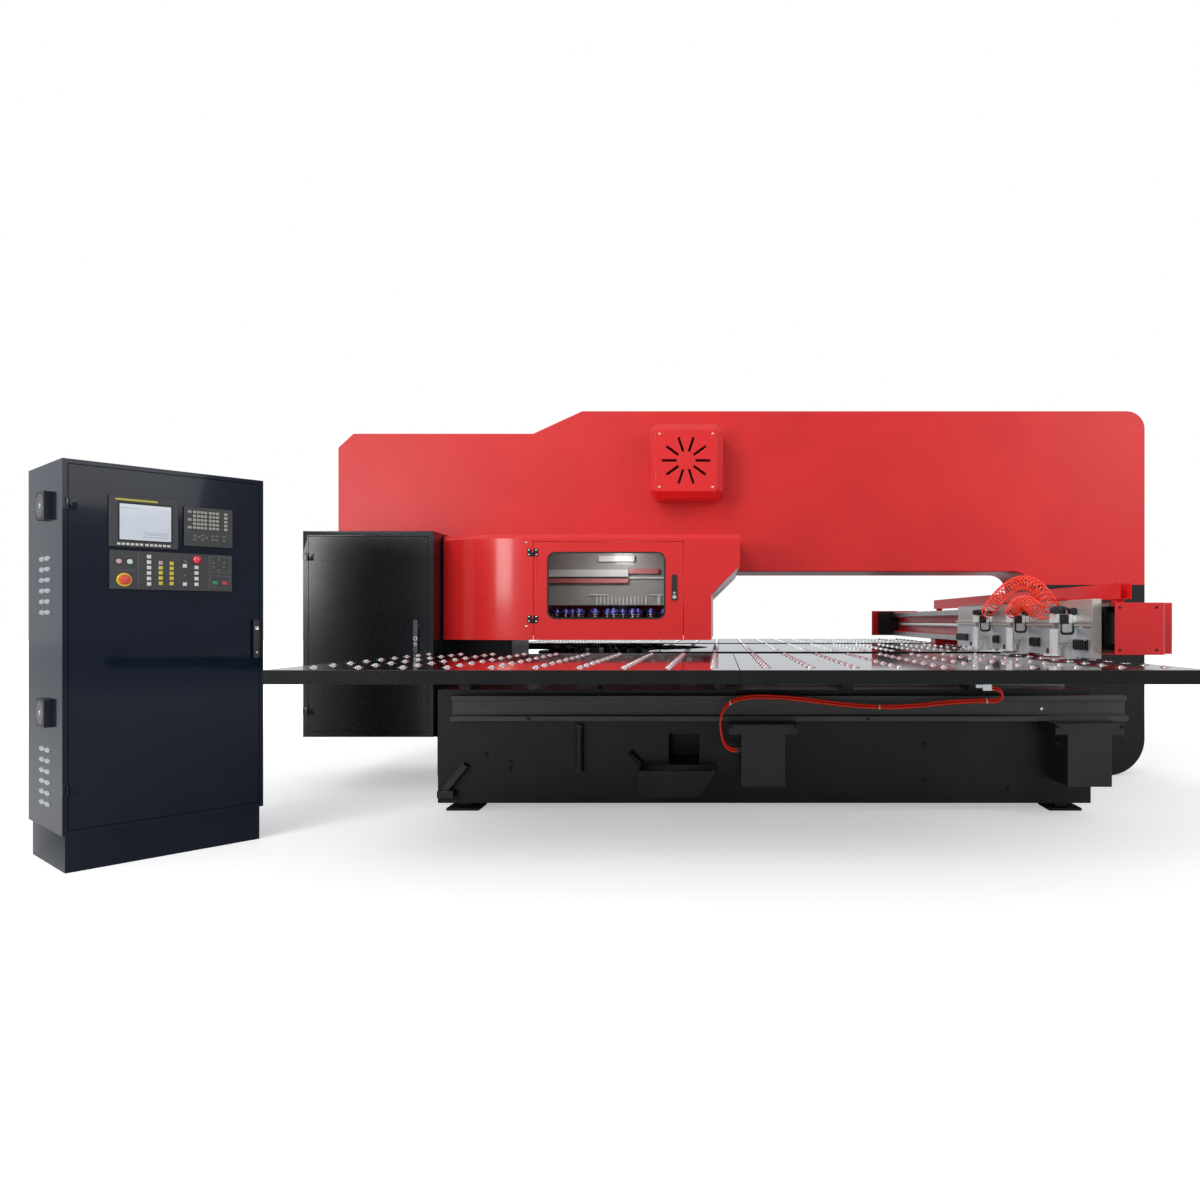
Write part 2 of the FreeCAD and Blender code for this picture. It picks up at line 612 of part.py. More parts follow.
def cover_wall():
    """The wall beside the turret, inside the throat."""
    thickness = cell.cover_sheet
    top = cell.throat_top - 0.3
    run = (cell.cover_right - cell.cover_neck) * (top - cell.cover_slant_bottom)
    run = run / (cell.cover_slant_top - cell.cover_slant_bottom)
    back = -cell.frame_depth / 2
    lean = thickness * math.sqrt(2)
    return prism([point(cell.cover_neck - thickness, back, cell.cover_bottom),
                  point(cell.cover_neck, back, cell.cover_bottom),
                  point(cell.cover_neck, back, cell.cover_slant_bottom),
                  point(cell.cover_neck + run, back, top),
                  point(cell.cover_neck + run - lean, back, top),
                  point(cell.cover_neck - thickness, back, cell.cover_slant_bottom + 2)],
                 point(0, -back - 0.5, 0))


def make_turret_cover():
    """The front cover with its door opening and fixed hinge halves, and the plain rear cover."""
    shell = cover_solid(0).cut(cover_solid(cell.cover_sheet)).fuse(cover_wall())
    rear = shell.mirror(point(0, 0, 0), Y_WAY)
    face = cell.cover_front
    opening = block(cell.hinge_line, cell.door_right, face - 1, face + cell.cover_sheet + 1,
                    cell.cover_bottom - 1, cell.door_top)
    front = shell.cut(opening)
    node("turret_cover", feature(Part.Compound([front, rear])))
    halves = [hinge_halves(cell.hinge_line, cell.cover_front - cell.hinge_pin_out, z, cell.cover_front)[0]
              for z in (cell.hinge_high, cell.hinge_low)]
    node("door_hinges", feature(Part.Compound(halves)))


def make_turret_door():
    """The flanged door panel with its window opening and moving hinge halves."""
    left = cell.hinge_line + cell.door_gap
    right = cell.door_right - cell.door_gap
    top = cell.door_top - cell.door_gap
    front = cell.cover_front
    sheet_in = front + cell.cover_sheet
    outer = block(left, right, front, front + cell.door_flange, cell.cover_bottom, top)
    hollow = block(left + cell.cover_sheet, right - cell.cover_sheet, sheet_in, front + cell.door_flange + 1,
                   cell.cover_bottom + cell.cover_sheet, top - cell.cover_sheet)
    low, high = cell.window_bottom, cell.window_top
    corners = [point(cell.window_left, front - 1, low), point(cell.window_right, front - 1, low),
               point(cell.window_right, front - 1, high), point(cell.window_left, front - 1, high)]
    window = prism(rounded_rectangle(corners, cell.window_radius), point(0, cell.cover_sheet + 2, 0))
    latch_bore = bar(cell.latch_spindle_radius + cell.running_gap,
                     point(cell.latch_x, front - 1, cell.latch_top - 20), 12, Y_WAY)
    panel = outer.cut([hollow, window, latch_bore])
    halves = [hinge_halves(cell.hinge_line, front - cell.hinge_pin_out, z, front)[1]
              for z in (cell.hinge_high, cell.hinge_low)]
    node("turret_door", feature(panel.fuse(halves)))


def make_door_window():
    """The glass pane behind the window opening."""
    node("door_window", box("window_left - 14", "cover_front + cover_sheet", "window_bottom - 14",
                            "window_right - window_left + 28", "glass_thickness",
                            "window_top - window_bottom + 28"))


def make_door_latch():
    """The swing latch on the turret door, with its spindle."""
    lever = box("latch_x - latch_width / 2", "cover_front - 11", "latch_bottom", "latch_width", "10",
                "latch_top - latch_bottom")
    spindle = cylinder("latch_x", "cover_front - 2", "latch_top - 20", "latch_spindle_radius",
                       "cover_sheet + 10", "y")
    node("door_latch", fuse(lever, spindle))


# ---------------------------------------------------------------- electrical cabinet on the frame
def make_electrical_cabinet():
    """The sheet cabinet on the frame's face, its inset door and its handle."""
    left, right = cell.ecab_inset - cell.frame_length / 2, cell.cover_left - cell.ecab_gap
    front, back = cell.ecab_front, -cell.frame_depth / 2
    bottom, top = cell.ecab_bottom, cell.ecab_top
    wall, rim, gap = cell.ecab_sheet, cell.ecab_rim, 2.5
    shell = block(left, right, front, back, bottom, top)
    hollow = block(left + wall, right - wall, front + wall, back - wall, bottom + wall, top - wall)
    opening = block(left + rim, right - rim, front - 1, front + wall + 1, bottom + rim, top - rim)
    axis_x = left + rim - 1
    axis_y = front - cell.hinge_pin_out
    heights = (bottom + cell.ecab_hinge_inset, top - cell.ecab_hinge_inset)
    halves = [hinge_halves(axis_x, axis_y, z, front) for z in heights]
    fixed = [half[0].common(block(left, axis_x + 6, front - 30, front, bottom, top)) for half in halves]
    node("electrical_cabinet", feature(shell.cut([hollow, opening]).fuse(fixed)))
    door = block(left + rim + gap, right - rim - gap, front, front + 22, bottom + rim + gap, top - rim - gap)
    inside = block(left + rim + gap + 3, right - rim - gap - 3, front + 3, front + 23,
                   bottom + rim + gap + 3, top - rim - gap - 3)
    pivot_z = cell.handle_top - cell.handle_pivot_drop
    radius = cell.handle_spindle_radius
    bore = bar(radius + cell.running_gap, point(cell.handle_x, front - 1, pivot_z), 6, Y_WAY)
    moving = [half[1] for half in halves]
    node("electrical_door", feature(door.cut([inside, bore]).fuse(moving)))
    lever = block(cell.handle_x - cell.handle_half, cell.handle_x + cell.handle_half, front - 24, front - 10,
                  cell.handle_bottom, cell.handle_top)
    spindle = bar(radius, point(cell.handle_x, front - 12, pivot_z), 20, Y_WAY)
    collar = lying_bar(8, cell.handle_x, front - 12, pivot_z, cell.handle_collar_radius, 11.7)
    node("electrical_handle", feature(lever.fuse([spindle, collar])))


# ---------------------------------------------------------------- tables and ball transfers
def table_pan(left, right, front, back, end_left=False, end_right=False):
    """A table plate with aprons under its front and back edges and at the ends asked for."""
    low = "table_height - table_apron"
    deep = "table_apron - table_plate + 0.5"
    across = f"({right}) - ({left})"
    along = f"({back}) - ({front})"
    pieces = [box(left, front, "table_height - table_plate", across, along, "table_plate"),
              box(left, front, low, across, "apron_thickness", deep),
              box(left, f"({back}) - apron_thickness", low, across, "apron_thickness", deep)]
    if end_left:
        pieces.append(box(left, front, low, "apron_thickness", along, deep))
    if end_right:
        pieces.append(box(f"({right}) - apron_thickness", front, low, "apron_thickness", along, deep))
    return fuse(*pieces)


def make_tables():
    """The front table in two plates, the centre table round the turret, and the rear table."""
    node("front_table_left", table_pan("table_left", "table_seam - 1", "front_table_edge",
                                       "-slot_outer_y", end_left=True))
    node("front_table_right", table_pan("table_seam + 1", "table_right", "front_table_edge",
                                        "-slot_outer_y", end_right=True))
    centre = table_pan("centre_table_left", "table_right", "-slot_inner_y", "slot_inner_y", end_right=True)
    round_cut = cylinder("turret_x", "0", "table_height - table_apron - 1",
                         "turret_radius + turret_clearance", "table_apron + 2")
    node("centre_table", cut(centre, round_cut))
    node("rear_table", table_pan("table_left", "table_right", "slot_outer_y", "-front_table_edge",
                                 end_left=True, end_right=True))


def make_ball_transfers():
    """The ball transfers in rows on every table; they are many, so each is a small flat-sided stub."""
    wide = cell.ball_half_width
    corners = [point(-wide, -wide, 0), point(wide, -wide, 0), point(wide, wide, 0), point(-wide, wide, 0)]
    crown = point(0, 0, cell.ball_height)
    sides = [[crown, corners[index - 1], corners[index]] for index in range(4)]
    faces = [Part.Face(Part.makePolygon(ring + ring[:1])) for ring in [corners] + sides]
    stub = Part.Solid(Part.makeShell(faces))
    if stub.Volume < 0:
        stub.reverse()
    first = cell.table_seam - 98
    columns = [first - cell.ball_pitch * index for index in range(10)]
    columns += [cell.table_seam + 105 + cell.ball_pitch * index for index in range(10)]
    first_row = cell.front_table_edge + cell.first_ball_row
    rows = [first_row + cell.ball_pitch * index for index in range(int(cell.ball_rows))]
    places = [(x, way * y) for way in (1, -1) for y in rows for x in columns]
    clear = cell.turret_radius + cell.turret_clearance + 2 * wide
    for x in columns:
        for index in range(-4, 5):
            y = index * cell.ball_pitch
            over_table = x > cell.centre_table_left + 2 * wide
            if over_table and math.hypot(x - cell.turret_x, y) > clear:
                places.append((x, y))
    stubs = []
    for x, y in places:
        copy = stub.copy()
        copy.translate(point(x, y, cell.table_height))
        stubs.append(copy)
    node("ball_transfers", feature(Part.Compound(stubs)))


def make_table_supports():
    """Tapered arms from the bases under the front and rear tables, and posts under the centre table."""
    arms = []
    under = cell.table_height - cell.table_plate
    root = -cell.slot_outer_y - 9
    tip = cell.front_table_edge + 80
    for index in range(5):
        x = cell.base_left + 113 + index * 665
        points = [point(x, root, cell.base_top), point(x, cell.base_front, cell.base_top),
                  point(x, cell.base_front, cell.base_top + 28), point(x, tip, under - 36),
                  point(x, tip, under), point(x, root, under)]
        arm = prism(points, point(60, 0, 0))
        arms.extend([arm, arm.mirror(point(0, 0, 0), Y_WAY)])
    end_x, end_y, end_z = AIR_HOSE_ROUTE[-1]
    fitting = block(end_x - 44, end_x - 0.3, end_y - 26, end_y + 14, end_z - 16, end_z + 26)
    arms[-2] = arms[-2].fuse(fitting)
    for index in range(4):
        x = cell.centre_table_left + 60 + index * 690
        for way in (-1, 1):
            middle = way * (cell.slot_inner_y - 92)
            arms.append(block(x, x + 60, middle - 50, middle + 50, cell.base_top, under))
    node("table_supports", feature(Part.Compound(arms)))


# ---------------------------------------------------------------- base and what hangs on its front
def make_base():
    """The front base with the slug chute, and the rear base."""
    width = "base_right - base_left"
    depth = "-base_front - frame_depth / 2"
    height = "base_top - base_bottom"
    front = box("base_left", "base_front", "base_bottom", width, depth, height)
    chute = box("chute_left", "base_front - 1", "chute_bottom", "chute_right - chute_left", "chute_depth + 1",
                "chute_top - chute_bottom")
    rear = box("base_left", "frame_depth / 2", "base_bottom", width, depth, height)
    node("machine_base", group(cut(front, chute), rear))


def make_front_fittings():
    """The rail channel, the box brackets, the slug tray and the cable conduit on the front base."""
    wall = cell.base_front
    out, lip = wall - cell.channel_out, cell.channel_lip
    low, high = cell.channel_bottom, cell.channel_top
    x = cell.channel_left
    profile = [point(x, wall, low), point(x, out, low), point(x, out, low + lip),
               point(x, out + 45, low + lip), point(x, out + 45, high - lip),
               point(x, out + 22, high - lip), point(x, out + 22, high), point(x, wall, high)]
    node("rail_channel", feature(prism(profile, point(cell.channel_right - x, 0, 0))))
    brackets = []
    for middle in ("bracket_left_x", "bracket_right_x"):
        cap = box(f"{middle} - cap_width / 2", "base_front - bracket_out", "channel_bottom - cap_height",
                  "cap_width", "bracket_out", "cap_height")
        body = box(f"{middle} - bracket_width / 2", "base_front - bracket_out",
                   "channel_bottom - cap_height - bracket_height", "bracket_width", "bracket_out",
                   "bracket_height")
        brackets.append([cap, body])
    _, hose_y, hose_z = AIR_HOSE_ROUTE[0]
    gland = box("bracket_left_x - bracket_width / 2 - 18", f"{hose_y} - 26", f"{hose_z} - 14",
                "20", "38", "28")
    brackets[0].append(gland)
    node("box_brackets", group(*[fuse(*pieces) for pieces in brackets]))
    tray = []
    for inset in (0, 4):
        front = wall - cell.tray_out + inset
        points = [point(cell.tray_left + inset, front, cell.tray_bottom + inset),
                  point(cell.tray_right - 90 - inset, front, cell.tray_bottom + inset),
                  point(cell.tray_right - inset, front, cell.tray_top + (1 if inset else 0)),
                  point(cell.tray_left + inset, front, cell.tray_top + (1 if inset else 0))]
        tray.append(prism(points, point(0, cell.tray_out - 2 * inset, 0)))
    node("slug_tray", feature(tray[0].cut(tray[1])))
    ribs = []
    pitch = (cell.conduit_top - cell.conduit_bottom) / cell.conduit_ribs
    middle_y = wall - cell.conduit_radius - 5 - 0.3
    core = polygon_bar(6, cell.conduit_x, middle_y, cell.conduit_bottom, cell.conduit_radius,
                       cell.conduit_top - cell.conduit_bottom)
    for index in range(int(cell.conduit_ribs)):
        ribs.append(polygon_bar(6, cell.conduit_x, middle_y, cell.conduit_bottom + (index + 0.25) * pitch,
                                cell.conduit_radius + 5, pitch / 2))
    node("cable_conduit", feature(core.fuse(ribs)))


# ---------------------------------------------------------------- Y drive and cross beam
def make_y_drive():
    """The Y rails on the bases, the Y screw and its bearing blocks with the motor."""
    rails = [box("beam_seat - y_travel - saddle_length", f"{way}y_rail_y - y_rail_width / 2", "base_top",
                 "y_travel + 1.6 * saddle_length", "y_rail_width", "y_rail_height") for way in ("-", "")]
    node("y_rails", group(*rails))
    node("y_screw", cylinder("-60", "y_screw_y", "y_screw_z", "screw_radius", "base_right - 7 + 60", "x"))
    bore = cylinder("-80", "y_screw_y", "y_screw_z", "screw_radius + running_gap", "base_right + 90", "x")
    blocks = [box(start, "y_screw_y - 45", "base_top", "y_block_width", "90", "y_screw_z + 42 - base_top")
              for start in ("-60", "base_right - 7 - y_block_width")]
    motor = box("-60 - y_motor_length", "y_screw_y - motor_size / 2", "base_top", "y_motor_length - 0.3",
                "motor_size", "y_screw_z + motor_size / 2 - base_top")
    foot = box("-60 - y_motor_length", "y_screw_y - 45", "base_top", "y_motor_length + 10", "90", "20")
    node("y_screw_drive", group(fuse(cut(blocks[0], bore), motor, foot), cut(blocks[1], bore)))


def make_cross_beam():
    """The beam with its screw groove, saddles, nut lug and end plate."""
    length = "beam_rear - beam_front"
    body = box("beam_x", "beam_front", "beam_bottom", "beam_back - beam_x", length, "beam_top - beam_bottom")
    groove = box("beam_x - 1", "beam_front - 1", "groove_bottom", "groove_depth + 1",
                 "beam_rear - beam_front + 2", "groove_top - groove_bottom")
    saddles = [box("beam_seat - saddle_length / 2", f"{way}y_rail_y - saddle_width / 2",
                   "base_top + y_rail_height + 0.3", "saddle_length", "saddle_width",
                   "beam_bottom - base_top - y_rail_height + 0.7") for way in ("-", "")]
    lug = box("beam_seat - 60", "-y_rail_y + saddle_width / 2 - 1", "y_screw_z - 32", "120",
              "y_rail_y + y_screw_y - saddle_width / 2 + 36", "64")
    bore = cylinder("beam_seat - 61", "y_screw_y", "y_screw_z", "screw_radius + running_gap", "122", "x")
    plate = box("end_plate_left", "beam_rear", "beam_bottom", "beam_back - end_plate_left",
                "end_plate_thickness", "end_plate_top - beam_bottom")
    node("cross_beam", cut(fuse(cut(body, groove), saddles[0], saddles[1], lug, plate), bore))
    rails = [box("rail_face", "beam_front + front_block + 1", low, "beam_x - rail_face",
                 "beam_rear - rear_block - beam_front - front_block - 2", "rail_height")
             for low in ("rail_low", "rail_high")]
    node("x_rails", group(*rails))


def make_x_drive():
    """The X screw, its bearing blocks with the motor, the motor cover and the cable trough."""
    node("x_screw", cylinder("x_screw_x", "beam_front + 4", "x_screw_z", "x_screw_radius",
                             "beam_rear - beam_front - 8", "y"))
    bore = cylinder("x_screw_x", "beam_front", "x_screw_z", "x_screw_radius + running_gap",
                    "beam_rear - beam_front", "y")
    rear = fuse(box("beam_x - 137", "beam_rear - rear_block", "beam_bottom + 7", "136.7", "rear_block - 0.3",
                    "beam_top - beam_bottom + 3"),
                box("beam_x - 20", "beam_rear - rear_block", "groove_bottom + 2", "groove_depth + 18",
                    "rear_block - 0.3", "groove_top - groove_bottom - 4"))
    front = fuse(box("beam_x - 40", "beam_front", "rail_low + 12", "39.7", "front_block", "186"),
                 box("beam_x - 20", "beam_front", "groove_bottom + 2", "groove_depth + 18", "front_block",
                     "groove_top - groove_bottom - 4"),
                 box("x_screw_x - motor_size / 2 + 11", "beam_front - motor_size",
                     "x_screw_z - motor_size / 2", "motor_size", "motor_size", "motor_size"))
    front_bore = cylinder("x_screw_x", "beam_front + 3", "x_screw_z", "x_screw_radius + running_gap",
                          "front_block", "y")
    node("x_screw_drive", group(cut(rear, bore), cut(front, front_bore)))
    left, right = cell.motor_cover_left, cell.motor_cover_right
    low, high = cell.motor_cover_bottom, cell.motor_cover_top
    front_y, back_y = cell.motor_cover_front, cell.beam_front
    bevel = cell.motor_cover_bevel
    covers = []
    for inset in (0, 3):
        edge = left - 1 if inset else left
        covers.append(prism([point(edge, front_y + inset, low + inset),
                             point(right - bevel - inset / 2, front_y + inset, low + inset),
                             point(right - inset, front_y + bevel + inset / 2, low + inset),
                             point(right - inset, back_y + (1 if inset else 0), low + inset),
                             point(edge, back_y + (1 if inset else 0), low + inset)],
                            point(0, 0, high - low - 2 * inset)))
    node("motor_cover", feature(covers[0].cut(covers[1])))
    left, right = cell.trough_left, cell.trough_right
    trough = block(left, right, cell.trough_front, cell.trough_rear, cell.trough_bottom, cell.trough_top)
    inner = block(left + 3, right - 3, cell.trough_front - 1, cell.trough_rear + 1, cell.trough_bottom + 3,
                  cell.trough_top + 1)
    posts = [block(left + 6, right - 6, y, y + 40, cell.beam_top, cell.trough_bottom + 1)
             for y in (cell.trough_front + 60, -300, cell.trough_rear - 100)]
    node("cable_trough", feature(trough.cut(inner).fuse(posts)))


# ---------------------------------------------------------------- carriage, clamps and jaws
def make_carriage():
    """The machined carriage plate with its ledge, rail blocks and nut lug, and its cover strip."""
    face, back = cell.carriage_face, cell.carriage_face + cell.carriage_thickness
    front = cell.carriage_front
    rear = front + cell.carriage_length
    plate = block(face, back, front, rear, cell.carriage_bottom, cell.carriage_top)
    ledge = block(face - cell.ledge_depth, face + 1, front, rear, cell.ledge_z,
                  cell.ledge_z + cell.ledge_height)
    slot = block(face - cell.ledge_depth - 1, face - 4, front - 1, rear + 1,
                 cell.ledge_z + 8, cell.ledge_z + cell.ledge_height - 8)
    slides = []
    for low in (cell.rail_low, cell.rail_high):
        for y in (front + 150, rear - 270):
            slides.append(block(back - 1, cell.rail_face - 0.3, y, y + 120, low, low + cell.rail_height))
    middle = (front + rear) / 2
    lug = block(back - 1, cell.beam_x + cell.groove_depth - 4, middle - 60, middle + 60,
                cell.x_screw_z - 28, cell.x_screw_z + 28)
    bore = bar(cell.x_screw_radius + cell.running_gap, point(cell.x_screw_x, middle - 61, cell.x_screw_z),
               122, Y_WAY)
    node("carriage", feature(plate.fuse([ledge] + slides + [lug]).cut([slot, bore]).removeSplitter()))
    node("carriage_cover", box("carriage_face - 6", "carriage_front + 260", "carriage_top",
                               "carriage_thickness + 30", "carriage_length - 420", "12"))


def clamp_places():
    """The Y of each clamp's middle, from the front one to the rear one."""
    return [cell.clamp_front_y + index * cell.clamp_pitch for index in range(3)]


def make_clamps():
    """The three clamp bodies with lower jaw, cheeks, pivot pin and air cylinder, and the three jaws."""
    face = cell.carriage_face
    tip = face - cell.clamp_reach
    half = cell.clamp_width / 2
    jaw_half = cell.jaw_width / 2
    cheek = half - jaw_half - cell.cheek_play
    passline = cell.table_height + cell.ball_height + 1
    jaw_low = passline + cell.lower_jaw_height + cell.jaw_gap
    pivot_x = face - cell.clamp_pivot_out
    pivot_z = passline + cell.clamp_pivot_rise
    head_low = pivot_z + cell.clamp_head_rise
    head_top = head_low + cell.clamp_head_height
    heel = pivot_z - cell.jaw_heel_drop
    crest = pivot_z + cell.jaw_crest_rise
    cylinder_x = face - cell.air_cylinder_out
    bodies = []
    names = ("clamp_jaw_front", "clamp_jaw_middle", "clamp_jaw_rear")
    for name, y in zip(names, clamp_places()):
        lower = block(tip, face, y - jaw_half, y + jaw_half, passline, passline + cell.lower_jaw_height)
        web = block(face - cell.clamp_web, face, y - half, y + half, passline, head_low + 1)
        head = block(face - cell.clamp_head, face, y - half, y + half, head_low, head_top)
        cheeks = [block(pivot_x - cell.cheek_reach, face - cell.clamp_web + 1, side, side + cheek, heel,
                        head_low + 1)
                  for side in (y - half, y + half - cheek)]
        pin = bar(cell.clamp_pin_radius, point(pivot_x, y - half, pivot_z), cell.clamp_width, Y_WAY)
        air = polygon_bar(8, cylinder_x, y, head_top - 1, cell.air_cylinder_radius,
                          cell.air_cylinder_height + 1)
        slot = block(face - cell.ledge_depth - 0.3, face + 1, y - half - 1, y + half + 1, cell.ledge_z - 0.3,
                     cell.ledge_z + cell.ledge_height + 0.3)
        bodies.append(lower.fuse([web, head, pin, air] + cheeks).cut(slot).removeSplitter())
        side = y - jaw_half
        plate_face = tip + cell.jaw_toe
        jaw_back = tip + cell.jaw_back
        stem_back = face - cell.clamp_web - 10
        toe_top = jaw_low + cell.jaw_toe_height
        outline = [point(tip, side, jaw_low), point(tip, side, toe_top), point(plate_face, side, toe_top),
                   point(plate_face, side, crest), point(stem_back, side, crest),
                   point(stem_back, side, heel), point(jaw_back, side, heel - 20),
                   point(jaw_back, side, jaw_low)]
        plate = block(plate_face, plate_face + cell.jaw_plate, y - half, y + half, jaw_low, crest)
        bore = bar(cell.clamp_pin_radius + cell.running_gap, point(pivot_x, side - 1, pivot_z),
                   cell.jaw_width + 2, Y_WAY)
        jaw = prism(outline, point(0, cell.jaw_width, 0)).fuse(plate).cut(bore)
        node(name, feature(jaw.removeSplitter()))
    node("clamp_bodies", feature(Part.Compound(bodies)))


# ---------------------------------------------------------------- hoses
def hose_path(points):
    """Straight runs joined by tangent arcs, each as large as its two runs allow; prints the radii."""
    edges = []
    start = points[0]
    radii = []
    for before, corner, after in zip(points, points[1:], points[2:]):
        way_in = (corner - before).normalize()
        way_out = (after - corner).normalize()
        turn = math.acos(max(-1.0, min(1.0, way_in.dot(way_out))))
        reach = 0.45 * min((corner - before).Length, (after - corner).Length)
        radii.append(reach / math.tan(turn / 2))
        arc_start = corner - way_in * reach
        arc_end = corner + way_out * reach
        chord_middle = (arc_start + arc_end) / 2
        rise = (corner - chord_middle).Length
        share = math.tan(turn / 4) * (arc_end - arc_start).Length / 2 / rise
        middle = chord_middle + (corner - chord_middle) * share
        edges.append(Part.LineSegment(start, arc_start).toShape())
        edges.append(Part.Arc(arc_start, middle, arc_end).toShape())
        start = arc_end
    edges.append(Part.LineSegment(start, points[-1]).toShape())
    print("radii", [round(radius, 1) for radius in radii])
    return Part.Wire(edges)


def tube(points, radius, sides=4):
    """A hose along a path, with a section of few sides; prints its length and how its volume compares."""
    path = hose_path(points)
    way = (points[1] - points[0]).normalize()
    across = way.cross(Z_WAY if abs(way.z) < 0.9 else X_WAY).normalize()
    up = way.cross(across)
    ring = [points[0] + across * radius * math.cos(2 * math.pi * index / sides)
            + up * radius * math.sin(2 * math.pi * index / sides) for index in range(sides)]
    section = Part.makePolygon(ring + ring[:1])
    solid = path.makePipeShell([section], True, False)
    area = Part.Face(section).Area
    print("length", round(path.Length), "volume share", round(solid.Volume / area / path.Length, 4))
    return solid


def make_air_hoses():
    """The tied pair of air hoses in front of the base, side by side."""
    for name, step in (("air_hose_upper", 0), ("air_hose_lower", 1)):
        out, down = step * cell.hose_step_out, step * cell.hose_step_down
        points = [point(x, y - out, z - down) for x, y, z in AIR_HOSE_ROUTE]
        node(name, feature(tube(points, cell.hose_radius)))


CURL_STEPS = 24


def curl_points(route, radius, curls):
    """Points along a helix of so many curls round a smooth middle line, in equal steps."""
    line = Part.BSplineCurve()
    knots = list(range(len(route) - 1))
    line.buildFromPolesMultsKnots([point(*place) for place in route], [3] + [1] * (len(knots) - 2) + [3],
                                  knots, False, 2)
    centres = line.toShape().discretize(Number=curls * CURL_STEPS + 1)
    places = []
    for index, centre in enumerate(centres):
        along = (centres[min(index + 1, len(centres) - 1)] - centres[max(index - 1, 0)]).normalize()
        side = along.cross(Z_WAY).normalize()
        up = side.cross(along)
        angle = -math.pi / 2 + 2 * math.pi * index / CURL_STEPS
        places.append(centre + side * radius * math.cos(angle) + up * radius * math.sin(angle))
    return places


def arc_between(start, end, control):
    """The arc from start to end whose end tangents meet at the control point."""
    middle = (start + end) / 2
    rise = control - middle
    lean = math.atan(rise.Length / ((end - start).Length / 2))
    return Part.Arc(start, middle + rise * (math.tan(lean / 2) / math.tan(lean)), end).toShape()


def biarc(start, way_out, end, way_in):
    """Two arcs that join two points with the given directions."""
    span = end - start
    ways = way_out + way_in
    closing = 2 * (1 - way_out.dot(way_in))
    reach = (-span.dot(ways) + math.sqrt(span.dot(ways) ** 2 + closing * span.dot(span))) / closing
    first = start + way_out * reach
    second = end - way_in * reach
    join = (first + second) / 2
    return [arc_between(start, join, first), arc_between(join, end, second)]


def least_gap(path, radius):
    """The least gap of a wound tube to itself, measured on points along its path."""
    step = 5.0
    places = path.discretize(Distance=step)
    apart = int(40 / step)
    least = min((places[first] - places[second]).Length for first in range(len(places))
                for second in range(first + apart, len(places)))
    return least - 2 * radius


def curly_hose(route, curls, root, end):
    """A coiled hose between two fittings on the clamps' heads; both ends leave them straight along Y."""
    radius = cell.curl_wire_radius
    places = curl_points(route, cell.curl_radius, curls)
    straight = Y_WAY * -3 * radius
    marks = [(root + straight, -Y_WAY)]
    half_turn = CURL_STEPS // 2
    for index in range(0, len(places), half_turn):
        along = places[min(index + 1, len(places) - 1)] - places[max(index - 1, 0)]
        marks.append((places[index], along.normalize()))
    marks.append((end - straight, -Y_WAY))
    edges = [Part.LineSegment(root, marks[0][0]).toShape()]
    for (start, way_out), (stop, way_in) in zip(marks, marks[1:]):
        edges.extend(biarc(start, way_out, stop, way_in))
    edges.append(Part.LineSegment(marks[-1][0], end).toShape())
    path = Part.Wire(edges)
    corners = [root + X_WAY * radius, root + Z_WAY * radius, root - X_WAY * radius, root - Z_WAY * radius]
    section = Part.makePolygon(corners + corners[:1])
    solid = path.makePipeShell([section], True, False)
    print("curly hose length", round(path.Length), "least gap", round(least_gap(path, radius), 2))
    return solid


def make_curly_hoses():
    """The curly hoses from the rear clamp and from the middle clamp to the front clamp."""
    play = 0.3
    reach = cell.clamp_width / 2 + play
    front, middle, rear = clamp_places()
    height = cell.table_height + cell.curl_root_rise
    end_y = front + reach
    node("curly_hose_rear", feature(curly_hose(
        REAR_CURL_ROUTE, int(cell.rear_curls), point(1400, rear - reach, height),
        point(1408, end_y, height))))
    node("curly_hose_middle", feature(curly_hose(
        MIDDLE_CURL_ROUTE, int(cell.middle_curls), point(1366, middle - reach, height),
        point(1366, end_y, height))))


# ---------------------------------------------------------------- free-standing control cabinet
def stand(name, shape):
    """Names a control cabinet piece modelled in the cabinet's own axes, and stands it in its place."""
    item = node(name, feature(shape))
    item.Placement = Placement(point(0, 0, 0), Rotation(Z_WAY, cell.ccab_yaw))
    place(item, "ccab_x", "ccab_y", "0")
    item.setExpression("Placement.Rotation.Angle", bound("ccab_yaw"))


